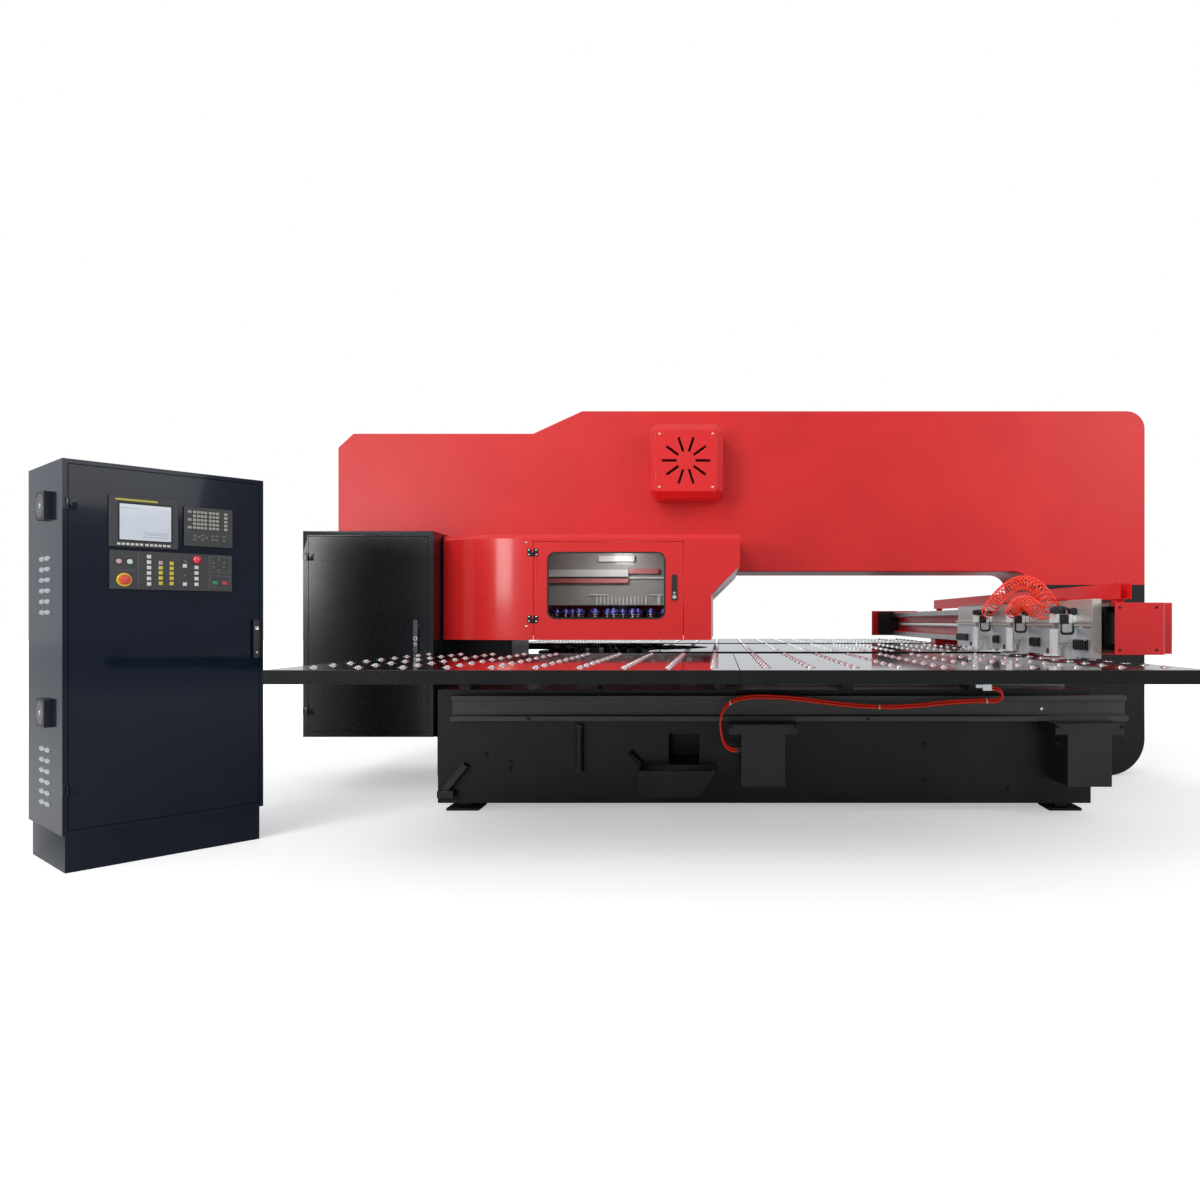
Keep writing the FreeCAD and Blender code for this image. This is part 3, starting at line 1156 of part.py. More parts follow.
def make_control_cabinet():
    """The cabinet shell with plinth, louvres and fan openings, its door and its handle."""
    width, depth, height = cell.ccab_width, cell.ccab_depth, cell.ccab_height
    wall, rim, gap = cell.ccab_sheet, cell.ccab_rim, 2.5
    plinth = cell.plinth_height
    inset = cell.plinth_inset
    shell = block(0, width, 0, depth, plinth, height).cut(
        block(wall, width - wall, wall, depth - wall, plinth + wall, height - wall))
    foot = block(inset, width - inset, inset, depth - inset, 0, plinth)
    opening = block(rim, width - rim, -1, wall + 1, plinth + rim, height - rim)
    slits = []
    for top in (cell.louvre_high, cell.louvre_low):
        for row_index in range(int(cell.louvre_rows)):
            for column in (0.36 * depth, 0.52 * depth):
                z = top - (row_index + 0.5) * cell.louvre_pitch
                slits.append(block(-1, wall + 1, column, column + cell.louvre_width, z - 5, z + 5))
    square = cell.fan_square
    fan_y = 0.36 * depth
    heights = (cell.fan_high, cell.fan_low)
    fans = [block(-1, wall + 1, fan_y, fan_y + square, z - square / 2, z + square / 2) for z in heights]
    axis_x = rim - 1
    axis_y = -cell.hinge_pin_out
    hinge_heights = (plinth + cell.ccab_hinge_inset, height - cell.ccab_hinge_inset)
    halves = [hinge_halves(axis_x, axis_y, z, 0) for z in hinge_heights]
    fixed = [half[0].common(block(0, axis_x + 6, -30, 0, 0, height)) for half in halves]
    stand("control_cabinet", shell.cut([opening] + slits + fans).fuse([foot] + fixed).removeSplitter())
    covers = []
    for z in heights:
        outer = square / 2 + 12
        inner = outer - wall
        middle_y = fan_y + square / 2
        cover = block(-22, 0, middle_y - outer, middle_y + outer, z - outer, z + outer)
        covers.append(cover.cut(block(-18, 1, middle_y - inner, middle_y + inner, z - inner, z + inner)))
    stand("side_fan_covers", Part.Compound(covers))
    door = block(rim + gap, width - rim - gap, 0, 22, plinth + rim + gap, height - rim - gap)
    edge = rim + gap + 3
    inside = block(edge, width - edge, 3, 23, plinth + edge, height - edge)
    windows = [unit_block(*unit, -1, 4, 7) for unit in panel_units().values()]
    handle_x = width - cell.control_handle_inset
    pivot_z = cell.control_handle_z
    radius = cell.handle_spindle_radius
    bore = bar(radius + cell.running_gap, point(handle_x, -1, pivot_z), 6, Y_WAY)
    moving = [half[1] for half in halves]
    stand("control_door", door.cut([inside, bore] + windows).fuse(moving))
    lever = block(handle_x - cell.handle_half, handle_x + cell.handle_half, -24, -10,
                  pivot_z - cell.control_handle_drop, pivot_z + 20)
    spindle = bar(radius, point(handle_x, -12, pivot_z), 20, Y_WAY)
    collar = lying_bar(8, handle_x, -12, pivot_z, cell.handle_collar_radius, 11.7)
    stand("control_handle", lever.fuse([spindle, collar]))


def panel_units():
    """Left, bottom, width and height of each unit in the control door."""
    return {
        "display_unit": (cell.display_left, cell.display_bottom, cell.display_width, cell.display_height),
        "keyboard_unit": (cell.keyboard_left, cell.keyboard_bottom, cell.keyboard_width,
                          cell.keyboard_height),
        "operator_panel": (cell.operator_left, cell.operator_bottom, cell.operator_width,
                           cell.operator_height),
    }


def unit_block(left, bottom, width, height, front, back, inset):
    """A block over a unit's outline, drawn in all round by an inset."""
    return block(left + inset, left + width - inset, front, back, bottom + inset, bottom + height - inset)


def make_panel_units():
    """Display, keyboard and operator panel, with the buttons and the knob that move."""
    out = cell.unit_out
    controls = {"emergency_stop": (cell.stop_x, cell.stop_z, 8, 4),
                "cycle_start": (cell.start_x, cell.button_z, cell.button_radius, 12),
                "feed_hold": (cell.hold_x, cell.button_z, cell.button_radius, 12),
                "mode_knob": (cell.knob_x, cell.knob_z, 5, 0)}
    for name, unit in panel_units().items():
        bezel = unit_block(*unit, -out, 0, 0)
        back = unit_block(*unit, -1, 60, 8)
        shape = bezel.fuse(back)
        if name == "operator_panel":
            bores = [lying_bar(sides, x, -out - 1, z, radius + 0.1, 34)
                     for x, z, radius, sides in controls.values() if sides]
            x, z, radius, _ = controls["mode_knob"]
            shape = shape.cut(bores + [bar(radius + cell.running_gap, point(x, -out - 1, z), 34, Y_WAY)])
        stand(name, shape)
    x, z, radius, sides = controls["emergency_stop"]
    stem = lying_bar(sides, x, -out - 20, z, radius, 40)
    stand("emergency_stop", stem.fuse(lying_bar(16, x, -out - 24, z, cell.stop_radius, 15)))
    for name in ("cycle_start", "feed_hold"):
        x, z, radius, sides = controls[name]
        stand(name, lying_bar(sides, x, -out - 6, z, radius, 32))
    x, z, radius, _ = controls["mode_knob"]
    stem = bar(radius, point(x, -out - 4, z), 24, Y_WAY)
    stand("mode_knob", stem.fuse(lying_bar(12, x, -out - 20, z, cell.knob_radius, 19.5)))


make_frame()
make_feet()
make_vent_box()
make_vent_fan()
make_punch_cylinder()
make_ram()
make_turret_bearings()
make_turret()
make_turret_cover()
make_turret_door()
make_door_window()
make_door_latch()
make_electrical_cabinet()
make_tables()
make_ball_transfers()
make_table_supports()
make_base()
make_front_fittings()
make_y_drive()
make_cross_beam()
make_x_drive()
make_carriage()
make_clamps()
make_air_hoses()
make_curly_hoses()
make_control_cabinet()
make_panel_units()

doc.recompute()
for item in doc.Objects:
    if "Invalid" in item.State or "Error" in item.State:
        raise RuntimeError(f"{item.Label} failed: {item.State}")
for name, item in nodes.items():
    if item.Shape.isNull() or not item.Shape.isValid():
        raise RuntimeError(name + " has no valid shape")
for name, item in nodes.items():
    item.Shape.exportStep(f"parts/{name}.step")
print(len(nodes), "nodes")
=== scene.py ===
import json
import logging
import math
from dataclasses import dataclass, field
from enum import Enum
from typing import Dict, Iterable, List, Optional, Sequence, Tuple, Union

import bmesh
import bpy
from mathutils import Matrix, Vector

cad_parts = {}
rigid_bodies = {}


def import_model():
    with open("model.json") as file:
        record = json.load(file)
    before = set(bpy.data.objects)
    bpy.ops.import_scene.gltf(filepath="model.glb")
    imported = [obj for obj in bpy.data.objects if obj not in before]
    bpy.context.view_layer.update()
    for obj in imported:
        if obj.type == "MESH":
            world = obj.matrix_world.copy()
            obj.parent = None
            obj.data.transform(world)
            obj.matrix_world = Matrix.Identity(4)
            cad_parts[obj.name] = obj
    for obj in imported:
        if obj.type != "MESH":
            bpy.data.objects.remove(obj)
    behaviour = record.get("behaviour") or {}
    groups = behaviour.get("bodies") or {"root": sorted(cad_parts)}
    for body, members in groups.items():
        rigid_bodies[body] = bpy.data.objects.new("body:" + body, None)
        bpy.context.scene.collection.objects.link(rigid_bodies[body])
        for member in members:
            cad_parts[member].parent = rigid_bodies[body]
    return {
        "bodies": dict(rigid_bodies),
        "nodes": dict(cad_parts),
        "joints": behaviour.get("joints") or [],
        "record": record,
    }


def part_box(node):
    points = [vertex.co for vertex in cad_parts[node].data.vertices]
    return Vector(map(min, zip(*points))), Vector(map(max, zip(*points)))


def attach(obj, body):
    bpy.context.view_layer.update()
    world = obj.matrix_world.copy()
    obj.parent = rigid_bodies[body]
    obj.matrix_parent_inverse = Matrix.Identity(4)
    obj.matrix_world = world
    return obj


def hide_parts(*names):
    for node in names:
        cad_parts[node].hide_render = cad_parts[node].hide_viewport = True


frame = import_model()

# Looks of a turret punch press: a red closed frame over ball tables, with its clamp carriage and control
# cabinet. Metres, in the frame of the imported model: X along the machine, Y away from the operator, Z up.

logging.basicConfig(level=logging.INFO, format="%(message)s")
log = logging.getLogger("turret_press")

Point = Tuple[float, float, float]
Colour = Tuple[float, float, float]
Place = Tuple[Point, Point]
Socket = Union[str, int]
Value = Union[float, Tuple[float, ...]]

IMAGE_SIZE = 1200
FOCAL_PIXELS = 895.0
HORIZON_PIXEL: Tuple[float, float] = (719.5, 620.5)
CAMERA_PLACE: Point = (-0.142, -6.027, 1.000)
SENSOR_WIDTH = 36.0
WHITE: Tuple[float, ...] = (1.0, 1.0, 1.0, 1.0)
SMOOTH_ANGLE = math.radians(32)
ORIGIN: Point = (0, 0, 0)
UP: Point = (0, 0, 1)
FORWARD: Point = (0, -1, 0)
FACING_FRONT: Point = (math.pi / 2, 0.0, 0.0)
FACING_UP: Point = (0.0, 0.0, 0.0)
FACING_LEFT: Point = (0.0, -math.pi / 2, 0.0)
FINE_STEP = 26.0
BUMP_DISTANCE = 0.0006
ROUGHNESS_SPREAD = 0.25
NOISE_RANGE: Tuple[float, float] = (0.3, 0.7)

JAWS: Tuple[str, ...] = ("clamp_jaw_front", "clamp_jaw_middle", "clamp_jaw_rear")
AIR_HOSE_RADIUS = 0.006
LOWER_HOSE_SHIFT: Point = (0.0, -0.0095, -0.0112)
AIR_HOSE_ROUTE: List[Point] = [
    (-0.053, -1.500, 0.350), (-0.086, -1.500, 0.350), (-0.118, -1.508, 0.382), (-0.136, -1.513, 0.446),
    (-0.138, -1.512, 0.520), (-0.112, -1.507, 0.578), (-0.050, -1.502, 0.612), (0.060, -1.499, 0.624),
    (0.250, -1.500, 0.612), (0.470, -1.503, 0.582), (0.690, -1.501, 0.566), (0.880, -1.503, 0.578),
    (1.050, -1.506, 0.597), (1.190, -1.506, 0.602), (1.256, -1.510, 0.598), (1.288, -1.515, 0.622),
    (1.268, -1.518, 0.664), (1.222, -1.518, 0.664)]
REAR_CURL_ROUTE: List[Point] = [
    (1.394, -0.900, 1.046), (1.394, -1.010, 1.096), (1.394, -1.180, 1.152), (1.394, -1.370, 1.190),
    (1.394, -1.560, 1.192), (1.394, -1.720, 1.150), (1.394, -1.840, 1.090), (1.394, -1.915, 1.044)]
MIDDLE_CURL_ROUTE: List[Point] = [
    (1.336, -1.510, 1.046), (1.334, -1.590, 1.076), (1.330, -1.680, 1.088), (1.326, -1.780, 1.080),
    (1.322, -1.860, 1.056), (1.320, -1.910, 1.040)]


# ---------------------------------------------------------------- finishes
class Grain(Enum):
    """How a finish's pattern runs, as its stretch along X, Y and Z."""

    EVEN = (1.0, 1.0, 1.0)
    ALONG_X = (0.12, 3.0, 3.0)
    ALONG_Y = (3.0, 0.12, 3.0)
    ALONG_Z = (3.0, 3.0, 0.12)


def new_node(tree: bpy.types.NodeTree, kind: str, inputs: Dict[Socket, Value],
             operation: str = "") -> bpy.types.Node:
    """A new node.

    Args:
        tree: the tree that it joins.
        kind: its type.
        inputs: values of its plain inputs.
        operation: what it works out, where it is a node for sums.

    Returns:
        The node.
    """
    node = tree.nodes.new(kind)
    if operation:
        node.operation = operation
    for socket, value in inputs.items():
        node.inputs[socket].default_value = value
    return node


def new_material(name: str, inputs: Dict[Socket, Value]) -> Tuple[bpy.types.Material, bpy.types.Node]:
    """A new material and its shader, with the shader's plain inputs filled in.

    Args:
        name: the material's name.
        inputs: values of the shader's plain inputs.

    Returns:
        The material and its shader.
    """
    material = bpy.data.materials.new(name)
    material.use_nodes = True
    shader = material.node_tree.nodes["Principled BSDF"]
    for socket, value in inputs.items():
        shader.inputs[socket].default_value = value
    return material, shader


def noise(tree: bpy.types.NodeTree, vector: bpy.types.NodeSocket, scale: float,
          detail: float) -> bpy.types.NodeSocket:
    """A noise pattern.

    Args:
        tree: the node tree.
        vector: where the pattern is read.
        scale: patterns a metre.
        detail: octaves.

    Returns:
        The factor's socket.
    """
    pattern = new_node(tree, "ShaderNodeTexNoise", {"Scale": scale, "Detail": detail})
    tree.links.new(vector, pattern.inputs["Vector"])
    return pattern.outputs["Fac"]


def span(tree: bpy.types.NodeTree, factor: bpy.types.NodeSocket, low: float,
         high: float) -> bpy.types.NodeSocket:
    """A number that runs from low to high with the factor.

    Args:
        tree: the node tree.
        factor: what it follows.
        low: its value at the factor's low end.
        high: its value at the high end.

    Returns:
        The number's socket.
    """
    scale = new_node(tree, "ShaderNodeMapRange", {"From Min": NOISE_RANGE[0], "From Max": NOISE_RANGE[1],
                                                  "To Min": low, "To Max": high})
    tree.links.new(factor, scale.inputs["Value"])
    return scale.outputs["Result"]


@dataclass(frozen=True)
class Surface:
    """One finish as a procedural material.

    Args:
        name: the material's name.
        colour: base colour in scene-linear red, green and blue.
        roughness: middle roughness.
        metallic: share of metal.
        coat: weight of the clear coat.
        mottle: how much the colour drifts over the surface.
        scale: broad patterns a metre.
        bump: strength of the fine relief.
        grain: how the pattern runs.
        glow: strength of the light that it gives off.
        lower: colour below the split height, where the paint has two colours.
        split: that height.
        specular: level of the plain mirror reflection.
        coat_roughness: roughness of the clear coat.
    """

    name: str
    colour: Colour
    roughness: float
    metallic: float = 0.0
    coat: float = 0.0
    mottle: float = 0.08
    scale: float = 5.0
    bump: float = 0.08
    grain: Grain = Grain.EVEN
    glow: float = 0.0
    lower: Optional[Colour] = None
    split: float = 0.0
    specular: float = 0.5
    coat_roughness: float = 0.05

    def material(self) -> bpy.types.Material:
        """The Blender material, made once."""
        return bpy.data.materials.get(self.name) or self._build()

    def _build(self) -> bpy.types.Material:
        """Makes the node tree."""
        material, shader = new_material(self.name, {
            "Metallic": self.metallic, "Coat Weight": self.coat, "Coat Roughness": self.coat_roughness,
            "Specular IOR Level": self.specular})
        material.diffuse_color = self.colour + (1.0,)
        tree = material.node_tree
        place = tree.nodes.new("ShaderNodeTexCoord").outputs["Object"]
        mapping = new_node(tree, "ShaderNodeMapping", {"Scale": self.grain.value})
        tree.links.new(place, mapping.inputs["Vector"])
        broad = noise(tree, mapping.outputs["Vector"], self.scale, 4.0)
        fine = noise(tree, mapping.outputs["Vector"], self.scale * FINE_STEP, 3.0)
        colour = self._ramp(tree, broad, self.colour)
        if self.lower is not None:
            colour = self._two_tone(tree, place, colour, self._ramp(tree, broad, self.lower))
        tree.links.new(colour, shader.inputs["Base Color"])
        if self.glow:
            tree.links.new(colour, shader.inputs["Emission Color"])
            shader.inputs["Emission Strength"].default_value = self.glow
        spread = ROUGHNESS_SPREAD * self.roughness
        tree.links.new(span(tree, fine, self.roughness - spread, self.roughness + spread),
                       shader.inputs["Roughness"])
        bump = new_node(tree, "ShaderNodeBump", {"Strength": self.bump, "Distance": BUMP_DISTANCE})
        tree.links.new(fine, bump.inputs["Height"])
        tree.links.new(bump.outputs["Normal"], shader.inputs["Normal"])
        return material

    def _two_tone(self, tree: bpy.types.NodeTree, place: bpy.types.NodeSocket, upper: bpy.types.NodeSocket,
                  lower: bpy.types.NodeSocket) -> bpy.types.NodeSocket:
        """One colour above the split height and another below it.

        Args:
            tree: the node tree.
            place: the piece's own coordinates.
            upper: the colour above.
            lower: the colour below.

        Returns:
            The colour's socket.
        """
        parts = tree.nodes.new("ShaderNodeSeparateXYZ")
        tree.links.new(place, parts.inputs["Vector"])
        above = new_node(tree, "ShaderNodeMath", {1: self.split}, "GREATER_THAN")
        tree.links.new(parts.outputs["Z"], above.inputs[0])
        blend = tree.nodes.new("ShaderNodeMix")
        blend.data_type = "RGBA"
        tree.links.new(above.outputs["Value"], blend.inputs["Factor"])
        tree.links.new(lower, blend.inputs["A"])
        tree.links.new(upper, blend.inputs["B"])
        return blend.outputs["Result"]

    def _ramp(self, tree: bpy.types.NodeTree, factor: bpy.types.NodeSocket,
              colour: Colour) -> bpy.types.NodeSocket:
        """The colour, a little darker and lighter with the factor.

        Args:
            tree: the node tree.
            factor: what it follows.
            colour: the middle colour.

        Returns:
            The colour's socket.
        """
        ramp = tree.nodes.new("ShaderNodeValToRGB")
        for element, position, share in zip(ramp.color_ramp.elements, NOISE_RANGE,
                                            (1 - self.mottle, 1 + self.mottle)):
            element.position = position
            element.color = tuple(min(1.0, channel * share) for channel in colour) + (1.0,)
        tree.links.new(factor, ramp.inputs["Fac"])
        return ramp.outputs["Color"]


@dataclass(frozen=True)
class Glass:
    """The clear pane of the turret door.

    Args:
        name: the material's name.
    """

    name: str = "door pane"

    def material(self) -> bpy.types.Material:
        """The Blender material, made once."""
        return bpy.data.materials.get(self.name) or self._build()

    def _build(self) -> bpy.types.Material:
        """Makes the node tree."""
        material, shader = new_material(self.name, {
            "Base Color": (0.93, 0.96, 0.95, 1.0), "Transmission Weight": 1.0, "IOR": 1.08})
        tree = material.node_tree
        haze = noise(tree, tree.nodes.new("ShaderNodeTexCoord").outputs["Object"], 9.0, 3.0)
        tree.links.new(span(tree, haze, 0.01, 0.05), shader.inputs["Roughness"])
        return material


Finish = Union[Surface, Glass]

FRAME_RED: Colour = (0.66, 0.023, 0.023)
COVER_RED: Colour = (0.73, 0.019, 0.019)
BLACK: Colour = (0.0065, 0.0065, 0.0072)
FRAME_PAINT = Surface("frame paint", FRAME_RED, 0.40, coat=0.42, mottle=0.05, scale=3.0, bump=0.012, lower=BLACK,
                      split=1.23, specular=0.08, coat_roughness=0.34)
RED_PAINT = Surface("red sheet paint", COVER_RED, 0.30, coat=0.42, mottle=0.04, scale=4.0, bump=0.0,
                    specular=0.2, coat_roughness=0.12)
BEAM_RED = Surface("red beam paint", (0.56, 0.014, 0.016), 0.30, coat=0.2, mottle=0.04, bump=0.0, specular=0.3,
                   coat_roughness=0.15)
TROUGH_RED = Surface("trough paint", (0.78, 0.018, 0.020), 0.34, coat=0.08, mottle=0.04, bump=0.0, specular=0.15)
BLACK_PAINT = Surface("black paint", (0.0080, 0.0095, 0.0105), 0.30, coat=0.65, mottle=0.2, scale=4.0, bump=0.006,
                      specular=0.15, coat_roughness=0.20)
BASE_BLACK = Surface("base paint", (0.0050, 0.0052, 0.0056), 0.40, coat=0.12, mottle=0.4, scale=7.0, bump=0.05,
                     specular=0.25, coat_roughness=0.2)
TABLE_BLACK = Surface("table gloss", (0.008, 0.007, 0.007), 0.11, coat=1.0, mottle=0.25, scale=3.0, bump=0.006)
NAVY_GLOSS = Surface("cabinet gloss", (0.0040, 0.0080, 0.0185), 0.14, coat=0.22, mottle=0.2, scale=2.5, bump=0.004,
                     specular=0.1)
TABLE_EDGE = Surface("table edge paint", (0.0055, 0.0058, 0.0062), 0.34, coat=0.12, mottle=0.3, scale=5.0, bump=0.01,
                     specular=0.15, coat_roughness=0.2)
TURRET_STEEL = Surface("blued turret steel", (0.045, 0.046, 0.048), 0.36, metallic=0.8, mottle=0.2, scale=18.0)
CARRIAGE_STEEL = Surface("milled carriage steel", (0.60, 0.585, 0.54), 0.38, metallic=0.5, mottle=0.10, scale=12.0,
                         bump=0.02, grain=Grain.ALONG_Y)
LEDGE_STEEL = Surface("ground ledge steel", (0.50, 0.52, 0.54), 0.32, metallic=0.6, mottle=0.10, scale=14.0,
                      bump=0.02, grain=Grain.ALONG_Y)
# Near-white: the ground steel's own light grey, lifted as painted highlight that stands in for its reflection.
STEEL_WITH_PAINTED_HIGHLIGHT = Surface("ground jaw steel with painted highlight", (0.86, 0.87, 0.88), 0.28, metallic=0.45, mottle=0.05, scale=18.0, bump=0.01,
                    grain=Grain.ALONG_Z)
GUARD_GREY = Surface("guard paint", (0.24, 0.23, 0.22), 0.4, coat=0.2, mottle=0.08, scale=9.0, bump=0.02)
GUARD_PALE = Surface("pale guard rail", (0.50, 0.50, 0.48), 0.35, coat=0.2, mottle=0.06, scale=20.0, bump=0.02)
GUARD_ROSE = Surface("dull red guard rail", (0.42, 0.10, 0.10), 0.4, coat=0.2, mottle=0.08, scale=20.0, bump=0.02)
BRASS = Surface("yellow passivated screws", (0.72, 0.62, 0.40), 0.25, metallic=0.9, mottle=0.08, scale=40.0)
LEVER_GREY = Surface("grey lever paint", (0.090, 0.098, 0.115), 0.25, coat=0.5, mottle=0.1, scale=40.0, bump=0.02)
MACHINED_UP = Surface("ground steel", (0.66, 0.66, 0.65), 0.34, metallic=0.6, mottle=0.08, scale=16.0, bump=0.03,
                      grain=Grain.ALONG_Z)
BRIGHT = Surface("bright steel", (0.72, 0.73, 0.74), 0.14, metallic=1.0, mottle=0.05, scale=20.0, bump=0.01)
RAIL_STEEL = Surface("rail steel", (0.37, 0.37, 0.35), 0.28, metallic=1.0, mottle=0.08, scale=12.0,
                     grain=Grain.ALONG_Y)
CAST = Surface("cast iron", (0.16, 0.165, 0.17), 0.55, metallic=0.4, mottle=0.2, scale=30.0, bump=0.15)
DARK_STEEL = Surface("black oxide steel", (0.018, 0.018, 0.02), 0.38, metallic=0.7, mottle=0.25, scale=30.0)
BLACK_PLASTIC = Surface("black plastic", (0.012, 0.012, 0.013), 0.42, mottle=0.15, scale=40.0, bump=0.2)
GREY_PLASTIC = Surface("bezel plastic", (0.030, 0.031, 0.034), 0.45, mottle=0.1, scale=60.0, bump=0.25)
RUBBER = Surface("gasket rubber", (0.008, 0.008, 0.008), 0.6, mottle=0.2, scale=50.0, bump=0.3)
HOSE_RED = Surface("red hose", (1.0, 0.030, 0.008), 0.26, coat=0.2, mottle=0.04, scale=25.0, bump=0.005, specular=0.3)
# The coiled hose's red gives off a weak glow of its own: painted light that lifts it above what the lamps give.
GLOWING_COIL_RED = Surface("coiled hose with painted glow", (1.0, 0.040, 0.010), 0.18, coat=0.6, mottle=0.03, scale=25.0, bump=0.005,
                   glow=0.03)
CHROME = Surface("polished balls", (0.86, 0.87, 0.88), 0.06, metallic=1.0, mottle=0.02, scale=20.0, bump=0.0)
VIOLET = Surface("violet anodised caps", (0.060, 0.055, 0.30), 0.22, metallic=0.5, coat=0.4, mottle=0.10, scale=30.0)
BLUE_PLASTIC = Surface("blue plastic", (0.050, 0.042, 0.22), 0.3, mottle=0.1, scale=60.0)
CHANNEL_GREY = Surface("satin channel grey", (0.045, 0.045, 0.046), 0.38, coat=0.2, mottle=0.3, scale=6.0,
                       bump=0.03, specular=0.35, coat_roughness=0.2, grain=Grain.ALONG_X)
BRACKET_GREY = Surface("satin charcoal", (0.0135, 0.0135, 0.0145), 0.42, coat=0.12, mottle=0.3, scale=6.0,
                       bump=0.03, specular=0.35, coat_roughness=0.2)
LOUVRE_EDGE = Surface("louvre paint", (0.30, 0.32, 0.36), 0.25, coat=0.8, mottle=0.12, scale=30.0)
SCREEN = Surface("lit screen", (0.52, 0.56, 0.62), 0.18, coat=0.4, mottle=0.03, scale=12.0, bump=0.0, glow=0.12)
SCREEN_LINES = Surface("screen lines", (0.20, 0.22, 0.26), 0.3, mottle=0.05, scale=40.0, bump=0.0)
PANEL_LINES = Surface("panel lines", (0.18, 0.18, 0.17), 0.5, mottle=0.1, scale=40.0, bump=0.0)
STRIP_YELLOW = Surface("yellow strip", (0.50, 0.42, 0.04), 0.4, mottle=0.05, scale=40.0)
KEY_WHITE = Surface("white keys", (0.62, 0.62, 0.58), 0.45, mottle=0.06, scale=70.0)
KEY_GREY = Surface("grey keys", (0.34, 0.34, 0.29), 0.5, mottle=0.08, scale=70.0)
KEY_DIM = Surface("dim keys", (0.13, 0.13, 0.12), 0.5, mottle=0.08, scale=70.0)
KEY_YELLOW = Surface("yellow keys", (0.58, 0.47, 0.05), 0.45, mottle=0.06, scale=70.0)
KEY_PINK = Surface("pink keys", (0.52, 0.32, 0.36), 0.4, mottle=0.05, scale=70.0)
KEY_MINT = Surface("pale green keys", (0.50, 0.62, 0.50), 0.4, mottle=0.05, scale=70.0)
KEY_GREEN = Surface("green keys", (0.02, 0.26, 0.12), 0.4, mottle=0.05, scale=70.0)
KEY_RED = Surface("red keys", (0.55, 0.03, 0.05), 0.4, mottle=0.05, scale=70.0)
STOP_YELLOW = Surface("stop yellow", (0.80, 0.50, 0.03), 0.35, mottle=0.04, scale=50.0)
STOP_RED = Surface("stop red", (0.62, 0.06, 0.04), 0.35, mottle=0.04, scale=50.0)
KNOB_RED = Surface("knob red", (0.62, 0.01, 0.04), 0.12, coat=1.0, mottle=0.03, scale=50.0)
TIE_WHITE = Surface("white ties", (0.8, 0.8, 0.78), 0.4, mottle=0.05, scale=40.0)


# ---------------------------------------------------------------- mesh helpers
def linked(name: str, data: bpy.types.ID) -> bpy.types.Object:
    """A new object of some data, in the scene.

    Args:
        name: the object's name.
        data: its mesh, curve, lamp or camera.

    Returns:
        The object.
    """
    item = bpy.data.objects.new(name, data)
    bpy.context.scene.collection.objects.link(item)
    return item


def turns(steps: int) -> List[float]:
    """So many equal turns round a circle, in radians."""
    return [2 * math.pi * step / steps for step in range(steps)]


def ellipse(middle: Vector, across: Vector, up: Vector, steps: int) -> List[Point]:
    """The points round an ellipse.

    Args:
        middle: its middle.
        across: its first half axis.
        up: its second half axis.
        steps: how many points.

    Returns:
        The points in order.
    """
    return [tuple(middle + across * math.cos(turn) + up * math.sin(turn)) for turn in turns(steps)]


